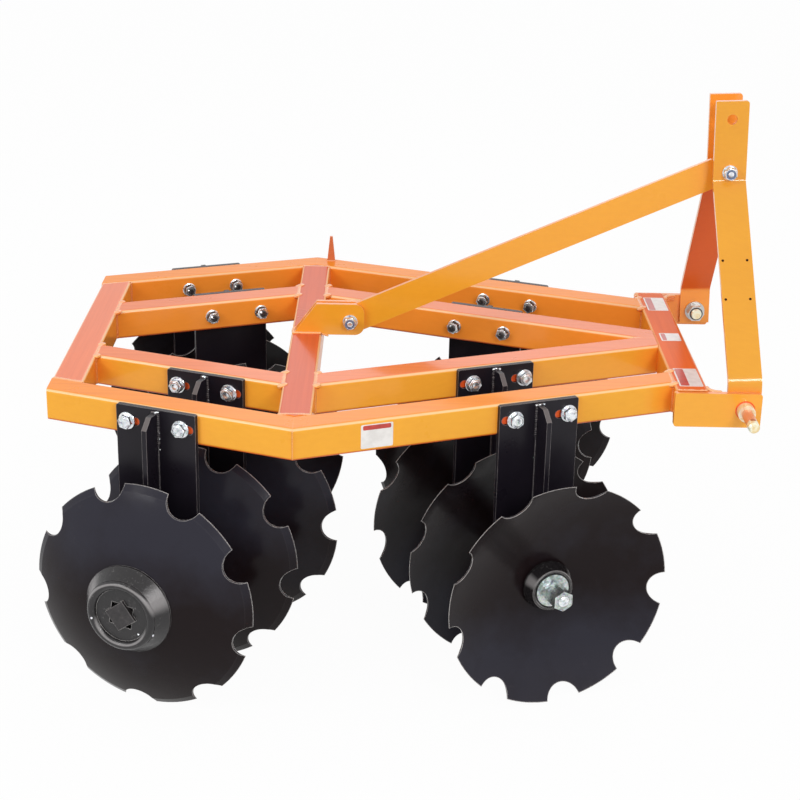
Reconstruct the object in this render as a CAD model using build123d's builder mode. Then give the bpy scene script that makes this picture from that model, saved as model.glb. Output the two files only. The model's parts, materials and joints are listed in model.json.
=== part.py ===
import os
from math import atan, cos, radians, sin, sqrt

from build123d import *

os.makedirs("parts", exist_ok=True)

# A tandem disc harrow for a three-point hitch: a welded hexagonal frame of square tube,
# four gangs of three notched discs hung under it in an X, and an A-shaped mast.
# Millimetres. X is the direction of travel, Y is to the left, Z is up from the ground.

# Frame plan
TUBE = 63.5                 # outside of the square tube
TUBE_WALL = 4.8
TUBE_CORNER = 7.0           # radius of its long outer edges
TUBE_CAP = 3.0              # plate that closes an open rear tube end
RAIL_SPACING = 205.0        # outer face of outer rail to outer face of inner rail
MIDDLE_X = -193.5           # centre of the middle crossbar
MIDDLE_HALF_WIDTH = 549.0   # to the outer corner where two outer rails meet
FRONT_HALF_WIDTH = 271.3    # to the outer rails' outer faces at the front crossbar
REAR_LENGTH = 480.0         # middle corner to the rear plane
FRONT_LENGTH = 735.0        # middle corner to the rear face of the front crossbar
AXLE_BELOW_TUBE = 323.25    # axle centre below the middle of the tubes

# Discs
DISC_RADIUS = 228.6
DISC_THICKNESS = 4.0
DISC_DEPTH = 60.0
DISC_SEAT_RADIUS = 46.0     # flat middle, where the castings bear
DISC_BEVEL = 12.0           # width of the ground edge
DISC_EDGE = 1.2             # thickness left at the very edge
NOTCH_COUNT = 9
NOTCH_RADIUS = 35.0
NOTCH_BEYOND_RIM = 6.0      # a notch's centre, outside the disc's rim
DISC_SPACING = RAIL_SPACING
HANGER_FROM_DISC = 71.0     # from a disc's seat to the middle of the plate on its domed side

# Gang axle and castings
AXLE_SIDE = 28.5
AXLE_PLAY = 0.15            # axle in the square bores of discs and castings
AXLE_TURN = 36.4            # its flats at rest, from level and upright
JOURNAL_RADIUS = 37.5
JOURNAL_LENGTH = 42.0
SPOOL_RADIUS = 27.0
SPOOL_FLANGE_RADIUS = 43.0
SPOOL_FLANGE = 9.0
SPOOL_NECK_RADIUS = 34.0    # plain spool's end against the journal
SEAT_PLAY = 0.3             # between the bell's hollowed back and the dish
BELL_RADIUS = 88.0
BELL_HEIGHT = 33.0
BELL_RECESS_RADIUS = 53.0
BELL_RECESS = 9.0
BELL_ROUND = 9.0            # radius of the crest around the recess
BELL_EDGE = 5.0             # height of the bell's outer wall
BELL_SEAT_STEP = 1.0        # width of the step from its flat seat to its hollowed back
SOCKET_DEPTH = 12.0         # star socket below the recess
HEAD_SIDE = 44.0            # square head of the axle, in the bell's socket
SOCKET_SIDE = 45.0          # each of the two squares that make the star
HEAD_HEIGHT = 17.0
END_HUB_LENGTH = 31.0
END_HUB_ROOT = 50.0         # radius at the disc
END_HUB_LIP = 42.0          # radius at its outer end
END_HUB_RECESS = 37.0       # radius of the recess for the washer
END_HUB_RECESS_DEPTH = 5.0
WASHER_RADIUS = 33.5
WASHER_THICKNESS = 6.0
NUT_ACROSS = 37.0
NUT_HEIGHT = 24.0           # each of the two, locked against each other
NUT_CHAMFER = 2.0
NUT_TURN = 30.0             # its flats at rest
THREAD_RADIUS = 12.0
THREAD_CHAMFER = 2.0
THREAD_SHORT = 1.0          # of the outer nut's face
THREAD_INSIDE = 15.0        # round end's start inside the end hub

# Hangers and bearings
HANGER_WIDTH = 165.0
HANGER_THICKNESS = 10.0
HANGER_TOP_DROP = 1.0       # below the top of the frame
HANGER_BELOW_AXLE = 66.0
HANGER_CORNER = 30.0        # radius of the two lower corners
HANGER_TOP_CORNER = 4.0
HANGER_HOLE_RADIUS = 46.0   # around the axle's castings
RIB_DEPTH = 46.0
RIB_THICKNESS = 10.0
RIB_TOP_DROP = 6.0          # below the plate's top
RIB_ABOVE_AXLE = 74.0
RIB_CHAMFER = 20.0
REAR_HANGER_BACK = 17.6     # behind the middle of the rear rail
REAR_BOLTS_BACK = 4.0       # behind the middle of the hanger
FRONT_BELL_GAP = 17.0       # between the two front gangs' bells
FRONT_BOLTS_AHEAD = 6.0     # ahead of the middle of the hanger
BOLT_SPACING = 112.0
BOLT_RADIUS = 8.5
SLOT_LENGTH = 37.0
SLOT_SHIFT = 3.5            # from the middle of the hanger towards the middle corner
BEARING_SIDE = 118.0
BEARING_CORNER = 15.0
BEARING_PLATE = 12.0
BEARING_BOSS_RADIUS = 50.0
BEARING_BOSS = 34.0
BEARING_PLAY = 0.1

# Hitch and mast
LUG_OUTER_Y = 320.0
LUG_THICKNESS = 12.0
LUG_TOP_DROP = 3.0          # its edges below the top of the frame
LUG_DROP = 73.0
LUG_BEHIND = 3.0            # its end behind the front crossbar
LUG_LENGTH = 170.0
LUG_CORNER = 6.0
PIN_AHEAD = 135.0           # pin axis ahead of the front crossbar's rear face
PIN_BELOW_MIDDLE = 5.0      # and below the middle of the tubes
PIN_RADIUS = 11.1
PIN_REACH = 73.0            # free length beyond its collar
PIN_COLLAR_RADIUS = 17.0
PIN_COLLAR = 21.0
PIN_NUT_ACROSS = 33.0
PIN_NUT = 20.0
PIN_WASHER_RADIUS = 22.0
PIN_WASHER = 4.0
PIN_THREAD_PROUD = 5.0
PIN_CHAMFER = 3.0
PIN_PLAY = 0.3              # in the holes of lug and leg
LINCHPIN_HOLE_RADIUS = 5.5
LINCHPIN_FROM_END = 18.0
MAST_WIDTH = 66.0
MAST_THICKNESS = 10.0
MAST_GAP = 64.0             # between the legs at the top
MAST_LEAN = 2.3
MAST_LOWER_BEND = 52.0      # heights above the lower pins
MAST_UPPER_BEND = 385.0
MAST_BRACE_HOLE = 405.0
MAST_TOP_HOLE = 513.0
MAST_TOP = 550.0
MAST_FOOT = 29.0
MAST_CORNER = 6.0
MAST_BEND_RADIUS = 25.0
TOP_LINK_RADIUS = 10.3
BRACE_WIDTH = 59.0
BRACE_THICKNESS = 10.0
BRACKET_THICKNESS = 10.0
BRACKET_TOP = 65.0          # above the frame
BRACKET_DROP = 2.0          # below the frame's top, ahead of the crossbar
BRACKET_AHEAD = 121.0       # ahead of the middle crossbar's centre
BRACKET_TOP_AHEAD = 21.0    # where its sloping rear edge reaches its top
BRACKET_CORNER = 20.0
BRACKET_SETBACK = 5.0       # its foot ahead of the crossbar's rear face
SPACER_RADIUS = 17.0
BRACKET_BOLT_AHEAD = 91.5
BRACKET_BOLT_UP = 27.0
BRACE_BOLT_RADIUS = 10.3
TAB_HEIGHT = 60.0
TAB_BASE = 19.0
TAB_ANGLE = 84.0            # slope of its two sides
TAB_THICKNESS = 8.0
TAB_AHEAD = 33.5            # ahead of the middle corner
TAB_INSIDE = 18.0           # from the corner, across the machine

# Places worked out from the sizes above
AXLE_DROP = AXLE_BELOW_TUBE + TUBE / 2
FRAME_TOP = DISC_RADIUS + AXLE_DROP
TUBE_MIDDLE = FRAME_TOP - TUBE / 2
REAR_X = MIDDLE_X - REAR_LENGTH
FRONT_X = MIDDLE_X + FRONT_LENGTH
SLOPE = (MIDDLE_HALF_WIDTH - FRONT_HALF_WIDTH) / FRONT_LENGTH
RAIL_ANGLE = atan(SLOPE)
ALONG = cos(RAIL_ANGLE)
PIN_X = FRONT_X + PIN_AHEAD
LUG_INNER_Y = LUG_OUTER_Y - LUG_THICKNESS
PIN_HEIGHT = TUBE_MIDDLE - PIN_BELOW_MIDDLE
GANG_HALF = DISC_SPACING / 2
GANG_LENGTH = 3 * DISC_SPACING
DISC_PLACES = [GANG_HALF - HANGER_FROM_DISC + DISC_SPACING * step for step in (-1, 0, 1)]
HANGER_PLACES = [-GANG_HALF, GANG_HALF]
DISH_CENTRE = (DISC_RADIUS**2 - DISC_SEAT_RADIUS**2 + DISC_DEPTH**2) / (2 * DISC_DEPTH)
DISH_RADIUS = sqrt(DISC_SEAT_RADIUS**2 + DISH_CENTRE**2)
# Distances along the outer rail, from its rear end and from the middle corner
REAR_HANGER_ALONG = REAR_LENGTH / ALONG / 2 - REAR_HANGER_BACK
REAR_BOLTS_ALONG = REAR_HANGER_ALONG - REAR_BOLTS_BACK
BELL_FACE = DISC_PLACES[-1] + DISC_THICKNESS / 2 + BELL_HEIGHT
BELL_FROM_RAIL = GANG_HALF - HANGER_THICKNESS / 2 + BELL_FACE
FRONT_HANGER_ALONG = (
    (MIDDLE_HALF_WIDTH - FRONT_BELL_GAP / 2 - ALONG * BELL_FROM_RAIL) / sin(RAIL_ANGLE)
    - BELL_RECESS_RADIUS - BELL_ROUND
)
FRONT_BOLTS_ALONG = FRONT_HANGER_ALONG + FRONT_BOLTS_AHEAD
AXLE_BORE = AXLE_SIDE + 2 * AXLE_PLAY


def save(piece, name):
    piece.label = name
    export_step(piece, f"parts/{name}.step")


def save_pair(right, name):
    """The right-hand piece, and its mirror image on the left."""
    save(right.part, f"{name}_right")
    with BuildPart() as left:
        mirror(right.part, about=Plane.XZ)
    save(left.part, f"{name}_left")


def rail_y(x, inset):
    """Y of a right-hand rail's face at x, set in from the outer rail's outer face."""
    return -MIDDLE_HALF_WIDTH + SLOPE * abs(x - MIDDLE_X) + inset / ALONG


def rail_plane(end, along, inset=0.0):
    """On a right-hand rail's face: x along the rail forward, y up, z out of the face."""
    corner_x = REAR_X if end == "rear" else MIDDLE_X
    sense = -1 if end == "rear" else 1
    start = Vector(corner_x, rail_y(corner_x, 0), FRAME_TOP)
    forward = Vector(cos(RAIL_ANGLE), sense * sin(RAIL_ANGLE), 0)
    outward = Vector(sense * sin(RAIL_ANGLE), -cos(RAIL_ANGLE), 0)
    return Plane(start + forward * along - outward * inset, x_dir=forward, z_dir=outward)


def rounded_bar(outline, direction):
    """A bar as high as the tube from its plan outline, its long edges rounded."""
    with BuildPart() as bar:
        with BuildSketch(Plane.XY.offset(FRAME_TOP - TUBE)):
            with BuildLine():
                Polyline(*outline, close=True)
            make_face()
        extrude(amount=TUBE)
        fillet(bar.edges().filter_by(Axis((0, 0, 0), direction)), TUBE_CORNER)
    return bar.part


def tube(outline, bore_plane, bore_length, x_bore):
    """A length of square tube: its plan outline, the plane across its bore's middle, and the
    X where the bore starts, which leaves a cap where that lies inside the outline."""
    with BuildPart() as bore:
        with BuildSketch(bore_plane):
            Rectangle(TUBE - 2 * TUBE_WALL, TUBE - 2 * TUBE_WALL)
        extrude(amount=bore_length / 2, both=True)
        split(bisect_by=Plane.YZ.offset(x_bore), keep=Keep.TOP)
    with BuildPart() as piece:
        add(rounded_bar(outline, bore_plane.z_dir))
        add(bore.part, mode=Mode.SUBTRACT)
    return piece


def rail_outline(x_rear, x_front, inset):
    """Plan of a right-hand rail between two X planes; inset is to its outer face."""
    outer = [(x_rear, rail_y(x_rear, inset)), (x_front, rail_y(x_front, inset))]
    inner = [(x_front, rail_y(x_front, inset + TUBE)), (x_rear, rail_y(x_rear, inset + TUBE))]
    return outer + inner


def rail(end, x_rear, x_front, inset, along):
    """A right-hand rail, bored for the two bolts of its hanger."""
    outline = rail_outline(x_rear, x_front, inset)
    if outline[2][1] > 0:
        x_centre = MIDDLE_X + (MIDDLE_HALF_WIDTH - (inset + TUBE) / ALONG) / SLOPE
        outline[2:3] = [(x_front, 0), (x_centre, 0)]
    bolts = rail_plane(end, along, inset)
    across_rail = Plane(
        bolts.origin - bolts.z_dir * TUBE / 2 - Vector(0, 0, TUBE / 2),
        x_dir=bolts.z_dir,
        z_dir=bolts.x_dir,
    )
    x_bore = REAR_X + TUBE_CAP if x_rear == REAR_X else x_rear - TUBE
    piece = tube(outline, across_rail, 2 * FRONT_LENGTH, x_bore)
    with BuildPart() as drilled:
        add(piece.part)
        with BuildSketch(bolts):
            with Locations((-BOLT_SPACING / 2, -TUBE / 2), (BOLT_SPACING / 2, -TUBE / 2)):
                Circle(BOLT_RADIUS)
        extrude(amount=-2 * TUBE, mode=Mode.SUBTRACT)
    return drilled


# Rails: outer ones from the rear plane to the middle corner and on to the front crossbar,
# inner ones between the crossbars; the two front inner rails meet in a V on the centreline
bay = [
    ("outer_rail_rear", "rear", REAR_X, MIDDLE_X, 0.0, REAR_BOLTS_ALONG),
    ("outer_rail_front", "front", MIDDLE_X, FRONT_X, 0.0, FRONT_BOLTS_ALONG),
    ("inner_rail_rear", "rear", REAR_X + TUBE, MIDDLE_X - TUBE / 2, RAIL_SPACING, REAR_BOLTS_ALONG),
    ("inner_rail_front", "front", MIDDLE_X + TUBE / 2, FRONT_X, RAIL_SPACING, FRONT_BOLTS_ALONG),
]
for name, end, x_rear, x_front, inset, along in bay:
    save_pair(rail(end, x_rear, x_front, inset, along), name)


# A slim upright tab on top of the left outer rail, a little ahead of the middle corner
x_tab = MIDDLE_X + TAB_AHEAD
y_tab = -rail_y(x_tab, TAB_INSIDE)
with BuildPart() as tab:
    with BuildSketch(Plane((x_tab, y_tab, FRAME_TOP), x_dir=(1, 0, 0), z_dir=(0, -1, 0))):
        with Locations((0, TAB_HEIGHT / 2)):
            Trapezoid(TAB_BASE, TAB_HEIGHT, TAB_ANGLE)
    extrude(amount=TAB_THICKNESS / 2, both=True)
save(tab.part, "upright_tab")


# Crossbars: plan outlines that fit between the outer rails' inner faces
rear_right = [(x, rail_y(x, TUBE)) for x in (REAR_X, REAR_X + TUBE)]
middle_right = [(x, rail_y(x, TUBE)) for x in (MIDDLE_X - TUBE / 2, MIDDLE_X, MIDDLE_X + TUBE / 2)]
front_right = [(x, -LUG_INNER_Y) for x in (FRONT_X, FRONT_X + TUBE)]
crossbars = [
    ("rear_crossbar", REAR_X + TUBE / 2, rear_right),
    ("middle_crossbar", MIDDLE_X, middle_right),
    ("front_crossbar", FRONT_X + TUBE / 2, front_right),
]
for name, x_bar, right_side in crossbars:
    left_side = [(x, -y) for x, y in reversed(right_side)]
    bore = Plane((x_bar, 0, TUBE_MIDDLE), x_dir=(1, 0, 0), z_dir=(0, -1, 0))
    save(tube(right_side + left_side, bore, 3 * MIDDLE_HALF_WIDTH, x_bar - TUBE).part, name)


def hanger(end, along, inset):
    """Plate on the rail's outer face with two bolt slots, and a rib down its outside."""
    face = rail_plane(end, along, inset)
    with BuildPart() as piece:
        with BuildSketch(face) as plate:
            bottom = -AXLE_DROP - HANGER_BELOW_AXLE
            with Locations((0, (bottom - HANGER_TOP_DROP) / 2)):
                Rectangle(HANGER_WIDTH, -HANGER_TOP_DROP - bottom)
            fillet(plate.vertices().group_by(Axis.Y)[0], HANGER_CORNER)
            fillet(plate.vertices().group_by(Axis.Y)[-1], HANGER_TOP_CORNER)
            shift = SLOT_SHIFT if end == "rear" else -SLOT_SHIFT
            for x_slot in (shift - BOLT_SPACING / 2, shift + BOLT_SPACING / 2):
                with Locations((x_slot, -TUBE / 2)):
                    SlotOverall(SLOT_LENGTH, 2 * BOLT_RADIUS, mode=Mode.SUBTRACT)
            with Locations((0, -AXLE_DROP)):
                Circle(HANGER_HOLE_RADIUS, mode=Mode.SUBTRACT)
        extrude(amount=HANGER_THICKNESS)
        side = Plane(face.origin, x_dir=face.z_dir, z_dir=-face.x_dir)
        rib_top = -HANGER_TOP_DROP - RIB_TOP_DROP
        rib_bottom = RIB_ABOVE_AXLE - AXLE_DROP
        with BuildSketch(side):
            with BuildLine():
                Polyline(
                    (HANGER_THICKNESS, rib_top),
                    (HANGER_THICKNESS + RIB_DEPTH - RIB_CHAMFER, rib_top),
                    (HANGER_THICKNESS + RIB_DEPTH, rib_top - RIB_CHAMFER),
                    (HANGER_THICKNESS + RIB_DEPTH, rib_bottom + RIB_CHAMFER),
                    (HANGER_THICKNESS + RIB_DEPTH - RIB_CHAMFER, rib_bottom),
                    (HANGER_THICKNESS, rib_bottom),
                    close=True,
                )
            make_face()
        extrude(amount=RIB_THICKNESS / 2, both=True)
    return piece


def bearing(end, along, inset):
    """Square flanged bearing housing on the hanger's inner face, around the spool's journal."""
    face = rail_plane(end, along, inset)
    centre = face.origin - Vector(0, 0, AXLE_DROP)
    seat = Plane(centre, x_dir=face.x_dir, z_dir=-face.z_dir)
    with BuildPart() as piece:
        with BuildSketch(seat) as flange:
            Rectangle(BEARING_SIDE, BEARING_SIDE)
            fillet(flange.vertices(), BEARING_CORNER)
        extrude(amount=BEARING_PLATE)
        with BuildSketch(seat):
            Circle(BEARING_BOSS_RADIUS)
        extrude(amount=BEARING_BOSS)
        with BuildSketch(seat):
            Circle(JOURNAL_RADIUS + BEARING_PLAY)
        extrude(amount=BEARING_BOSS, mode=Mode.SUBTRACT)
    return piece


for end, along in (("rear", REAR_HANGER_ALONG), ("front", FRONT_HANGER_ALONG)):
    save_pair(hanger(end, along, 0.0), f"hanger_{end}_outer")
    save_pair(hanger(end, along, RAIL_SPACING), f"hanger_{end}_inner")
    with BuildPart() as bearings:
        add(bearing(end, along, 0.0).part)
        add(bearing(end, along, RAIL_SPACING).part)
    save_pair(bearings, f"bearings_{end}")


# Gangs, each modelled along its own X axis: X runs to the domed sides of its discs, Y and Z
# square to the axle. The domed sides face out on the rear gangs and in on the front ones.
def turned(profile):
    """A solid of revolution about X from (x, radius) corners, bored square for the axle."""
    with BuildPart() as piece:
        with BuildSketch(Plane.XY):
            with BuildLine():
                Polyline(*profile, close=True)
            make_face()
        revolve(axis=Axis.X)
        with BuildSketch(Plane.YZ):
            Rectangle(AXLE_BORE, AXLE_BORE, rotation=AXLE_TURN)
        extrude(amount=GANG_LENGTH, both=True, mode=Mode.SUBTRACT)
    return piece.part


def dish_x(radius, offset):
    """X of the dished surface at a radius, offset from the middle of the disc's thickness."""
    return sqrt((DISH_RADIUS + offset) ** 2 - radius**2) - DISH_CENTRE


def disc(phase):
    """Notched dished disc with a flat seat, its middle plane there at X = 0."""
    half = DISC_THICKNESS / 2
    edge_x = dish_x(DISC_RADIUS, -half)
    bevel_radius = DISC_RADIUS - DISC_BEVEL
    middle_radius = (DISC_SEAT_RADIUS + DISC_RADIUS) / 2
    with BuildPart() as piece:
        with BuildSketch(Plane.XY):
            with BuildLine():
                Line((-half, 0), (-half, DISC_SEAT_RADIUS))
                ThreePointArc(
                    (-half, DISC_SEAT_RADIUS),
                    (dish_x(middle_radius, -half), middle_radius),
                    (edge_x, DISC_RADIUS),
                )
                Polyline(
                    (edge_x, DISC_RADIUS),
                    (edge_x + DISC_EDGE, DISC_RADIUS),
                    (dish_x(bevel_radius, half), bevel_radius),
                )
                ThreePointArc(
                    (dish_x(bevel_radius, half), bevel_radius),
                    (dish_x(middle_radius, half), middle_radius),
                    (half, DISC_SEAT_RADIUS),
                )
                Polyline((half, DISC_SEAT_RADIUS), (half, 0), (-half, 0))
            make_face()
        revolve(axis=Axis.X)
        with BuildSketch(Plane.YZ):
            Rectangle(AXLE_BORE, AXLE_BORE, rotation=AXLE_TURN)
            with PolarLocations(DISC_RADIUS + NOTCH_BEYOND_RIM, NOTCH_COUNT, start_angle=phase):
                Circle(NOTCH_RADIUS)
        extrude(amount=2 * DISC_DEPTH, both=True, mode=Mode.SUBTRACT)
    return piece.part


def journal_spool(x_disc, x_journal):
    """From a disc's domed face to the far end of the bearing journal."""
    x_face = x_disc + DISC_THICKNESS / 2
    x_near = x_journal - JOURNAL_LENGTH / 2
    x_far = x_journal + JOURNAL_LENGTH / 2
    return turned([
        (x_face, 0),
        (x_face, SPOOL_FLANGE_RADIUS),
        (x_face + SPOOL_FLANGE, SPOOL_FLANGE_RADIUS),
        (x_face + SPOOL_FLANGE, SPOOL_RADIUS),
        (x_near, SPOOL_RADIUS),
        (x_near, JOURNAL_RADIUS),
        (x_far, JOURNAL_RADIUS),
        (x_far, 0),
    ])


def plain_spool(x_journal, x_disc):
    """From the end of the bearing journal to the next disc's hollow face."""
    x_start = x_journal + JOURNAL_LENGTH / 2
    x_face = x_disc - DISC_THICKNESS / 2
    return turned([
        (x_start, 0),
        (x_start, SPOOL_NECK_RADIUS),
        (x_start + SPOOL_FLANGE, SPOOL_NECK_RADIUS),
        (x_start + SPOOL_FLANGE, SPOOL_RADIUS),
        (x_face - SPOOL_FLANGE, SPOOL_RADIUS),
        (x_face - SPOOL_FLANGE, SPOOL_FLANGE_RADIUS),
        (x_face, SPOOL_FLANGE_RADIUS),
        (x_face, 0),
    ])


def end_hub(x_disc):
    """Short tapered casting in the hollow of the end disc, recessed for the axle's washer."""
    x_face = x_disc - DISC_THICKNESS / 2
    x_lip = x_face - END_HUB_LENGTH
    return turned([
        (x_face, 0),
        (x_face, DISC_SEAT_RADIUS),
        (x_face - SPOOL_FLANGE / 2, END_HUB_ROOT),
        (x_face - SPOOL_FLANGE, END_HUB_ROOT),
        (x_lip, END_HUB_LIP),
        (x_lip, END_HUB_RECESS),
        (x_lip + END_HUB_RECESS_DEPTH, END_HUB_RECESS),
        (x_lip + END_HUB_RECESS_DEPTH, 0),
    ])


def end_bell(x_disc):
    """Domed end washer on the last disc, its back hollowed to the dish, with a star socket."""
    half = DISC_THICKNESS / 2
    x_seat = x_disc + half
    x_top = x_seat + BELL_HEIGHT
    x_floor = x_top - BELL_RECESS
    back_start = x_disc + dish_x(DISC_SEAT_RADIUS, half + SEAT_PLAY)
    back_end = x_disc + dish_x(BELL_RADIUS, half + SEAT_PLAY)
    middle_radius = (DISC_SEAT_RADIUS + BELL_RADIUS) / 2
    crest_radius = BELL_RECESS_RADIUS + BELL_ROUND
    with BuildPart() as piece:
        with BuildSketch(Plane.XY):
            with BuildLine():
                Polyline(
                    (x_floor, 0),
                    (x_seat, 0),
                    (x_seat, DISC_SEAT_RADIUS - BELL_SEAT_STEP),
                    (back_start, DISC_SEAT_RADIUS),
                )
                ThreePointArc(
                    (back_start, DISC_SEAT_RADIUS),
                    (x_disc + dish_x(middle_radius, half + SEAT_PLAY), middle_radius),
                    (back_end, BELL_RADIUS),
                )
                Polyline(
                    (back_end, BELL_RADIUS),
                    (back_end + BELL_EDGE, BELL_RADIUS),
                    (x_top - BELL_ROUND, crest_radius + BELL_ROUND),
                )
                ThreePointArc(
                    (x_top - BELL_ROUND, crest_radius + BELL_ROUND),
                    (x_top, crest_radius),
                    (x_top - BELL_ROUND, crest_radius - BELL_ROUND),
                )
                Line((x_floor, BELL_RECESS_RADIUS), (x_floor, 0))
            make_face()
        revolve(axis=Axis.X)
        with BuildSketch(Plane.YZ):
            Rectangle(AXLE_BORE, AXLE_BORE, rotation=AXLE_TURN)
        extrude(amount=GANG_LENGTH, mode=Mode.SUBTRACT)
        with BuildSketch(Plane.YZ.offset(x_floor - SOCKET_DEPTH)):
            Rectangle(SOCKET_SIDE, SOCKET_SIDE, rotation=AXLE_TURN)
            Rectangle(SOCKET_SIDE, SOCKET_SIDE, rotation=AXLE_TURN + 45)
        extrude(amount=SOCKET_DEPTH, mode=Mode.SUBTRACT)
    return piece.part


def axle(x_first, x_last):
    """Square bar with its head in the bell's socket and a threaded far end."""
    x_head = x_last + DISC_THICKNESS / 2 + BELL_HEIGHT - BELL_RECESS - SOCKET_DEPTH
    x_thread = x_first - DISC_THICKNESS / 2 - END_HUB_LENGTH + END_HUB_RECESS_DEPTH + THREAD_INSIDE
    x_tip = x_thread - THREAD_INSIDE - WASHER_THICKNESS - 2 * NUT_HEIGHT + THREAD_SHORT
    with BuildPart() as piece:
        with BuildSketch(Plane.YZ.offset(x_thread)):
            Rectangle(AXLE_SIDE, AXLE_SIDE, rotation=AXLE_TURN)
        extrude(amount=x_head - x_thread)
        with BuildSketch(Plane.YZ.offset(x_head)):
            Rectangle(HEAD_SIDE, HEAD_SIDE, rotation=AXLE_TURN)
        extrude(amount=HEAD_HEIGHT)
        with BuildSketch(Plane.YZ.offset(x_tip)):
            Circle(THREAD_RADIUS)
        extrude(amount=x_thread - x_tip)
        chamfer(piece.faces().sort_by(Axis.X)[0].edges(), THREAD_CHAMFER)
    return piece.part


def axle_nut(x_first):
    """Flat washer and two hexagon nuts, drawn up against the end hub."""
    x_seat = x_first - DISC_THICKNESS / 2 - END_HUB_LENGTH + END_HUB_RECESS_DEPTH
    x_nuts = x_seat - WASHER_THICKNESS
    corner = NUT_ACROSS / sqrt(3)
    with BuildPart() as nuts:
        for step in (0, 1):
            x_near = x_nuts - step * NUT_HEIGHT
            with BuildSketch(Plane.XY):
                with BuildLine():
                    Polyline(
                        (x_near, 0),
                        (x_near, corner - NUT_CHAMFER),
                        (x_near - NUT_CHAMFER / 2, corner),
                        (x_near - NUT_HEIGHT + NUT_CHAMFER / 2, corner),
                        (x_near - NUT_HEIGHT, corner - NUT_CHAMFER),
                        (x_near - NUT_HEIGHT, 0),
                        close=True,
                    )
                make_face()
            revolve(axis=Axis.X)
        with BuildSketch(Plane.YZ.offset(x_nuts)):
            RegularPolygon(NUT_ACROSS / 2, 6, major_radius=False, rotation=NUT_TURN)
        extrude(amount=-2 * NUT_HEIGHT, mode=Mode.INTERSECT)
    with BuildPart() as piece:
        add(nuts.part)
        with BuildSketch(Plane.YZ.offset(x_seat)):
            Circle(WASHER_RADIUS)
        extrude(amount=-WASHER_THICKNESS)
        with BuildSketch(Plane.YZ.offset(x_seat)):
            Circle(THREAD_RADIUS)
        extrude(amount=-WASHER_THICKNESS - 2 * NUT_HEIGHT, mode=Mode.SUBTRACT)
    return piece.part


# Per gang end: sense of X (1 out, -1 in), hanger's place along the rail, and the angle of the
# first notch of each disc, from the nut to the bell, about the gang's X on the right-hand side
gangs = [
    ("rear", 1, REAR_HANGER_ALONG, (42.1, 32.8, 26.4)),
    ("front", -1, FRONT_HANGER_ALONG, (184.4, 177.0, 188.5)),
]
for end, sense, along, phases in gangs:
    hanger_face = rail_plane(end, along)
    out = hanger_face.z_dir
    centre = hanger_face.origin + out * (HANGER_THICKNESS / 2 - GANG_HALF) - Vector(0, 0, AXLE_DROP)
    gang = Plane(centre, x_dir=out * sense, z_dir=(0, 0, 1)).location
    journal_shift = -sense * (HANGER_THICKNESS + BEARING_BOSS) / 2
    journals = [x_hanger + journal_shift for x_hanger in HANGER_PLACES]
    first, middle, last = DISC_PLACES
    pieces = {
        "discs": [Pos(x, 0, 0) * disc(phase) for x, phase in zip(DISC_PLACES, phases)],
        "journal_spools": [journal_spool(first, journals[0]), journal_spool(middle, journals[1])],
        "plain_spools": [
            end_hub(first),
            plain_spool(journals[0], middle),
            plain_spool(journals[1], last),
        ],
        "end_bell": [end_bell(last)],
        "axle": [axle(first, last)],
        "axle_nut": [axle_nut(first)],
    }
    for name, solids in pieces.items():
        with BuildPart() as placed:
            add([gang * solid for solid in solids])
        save_pair(placed, f"{name}_{end}")


# Hitch lugs: plates across the front crossbar's ends that carry the lower pins
with BuildPart() as lug:
    with BuildSketch(Plane.XZ.offset(LUG_INNER_Y)) as lug_outline:
        x_lug = FRONT_X - LUG_BEHIND + LUG_LENGTH / 2
        with Locations((x_lug, FRAME_TOP - (LUG_TOP_DROP + LUG_DROP) / 2)):
            Rectangle(LUG_LENGTH, LUG_DROP - LUG_TOP_DROP)
        fillet(lug_outline.vertices(), LUG_CORNER)
        with Locations((PIN_X, PIN_HEIGHT)):
            Circle(PIN_RADIUS + PIN_PLAY, mode=Mode.SUBTRACT)
    extrude(amount=LUG_THICKNESS)
save_pair(lug, "hitch_lug")

# Lower hitch pins: collar outside the lug, shank through lug and mast leg, nut inside
with BuildPart() as pin:
    shank = LUG_THICKNESS + MAST_THICKNESS + PIN_WASHER + PIN_NUT + PIN_THREAD_PROUD
    pin_start = Plane((PIN_X, -LUG_OUTER_Y, PIN_HEIGHT), x_dir=(1, 0, 0), z_dir=(0, -1, 0))
    with BuildSketch(pin_start):
        Circle(PIN_RADIUS)
    extrude(amount=PIN_COLLAR + PIN_REACH)
    with BuildSketch(pin_start):
        Circle(PIN_RADIUS)
    extrude(amount=-shank)
    chamfer(pin.edges().filter_by(GeomType.CIRCLE).sort_by(Axis.Y)[0], PIN_CHAMFER)
    with BuildSketch(pin_start):
        Circle(PIN_COLLAR_RADIUS)
    extrude(amount=PIN_COLLAR)
    with BuildSketch(pin_start.offset(-LUG_THICKNESS - MAST_THICKNESS)):
        Circle(PIN_WASHER_RADIUS)
    extrude(amount=-PIN_WASHER)
    with BuildSketch(pin_start.offset(-LUG_THICKNESS - MAST_THICKNESS - PIN_WASHER)):
        RegularPolygon(PIN_NUT_ACROSS / 2, 6, major_radius=False)
    extrude(amount=-PIN_NUT)
    linchpin_y = -LUG_OUTER_Y - PIN_COLLAR - PIN_REACH + LINCHPIN_FROM_END
    with BuildSketch(Plane((PIN_X, linchpin_y, PIN_HEIGHT))):
        Circle(LINCHPIN_HOLE_RADIUS)
    extrude(amount=2 * PIN_RADIUS, both=True, mode=Mode.SUBTRACT)
save_pair(pin, "hitch_pin")

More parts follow.
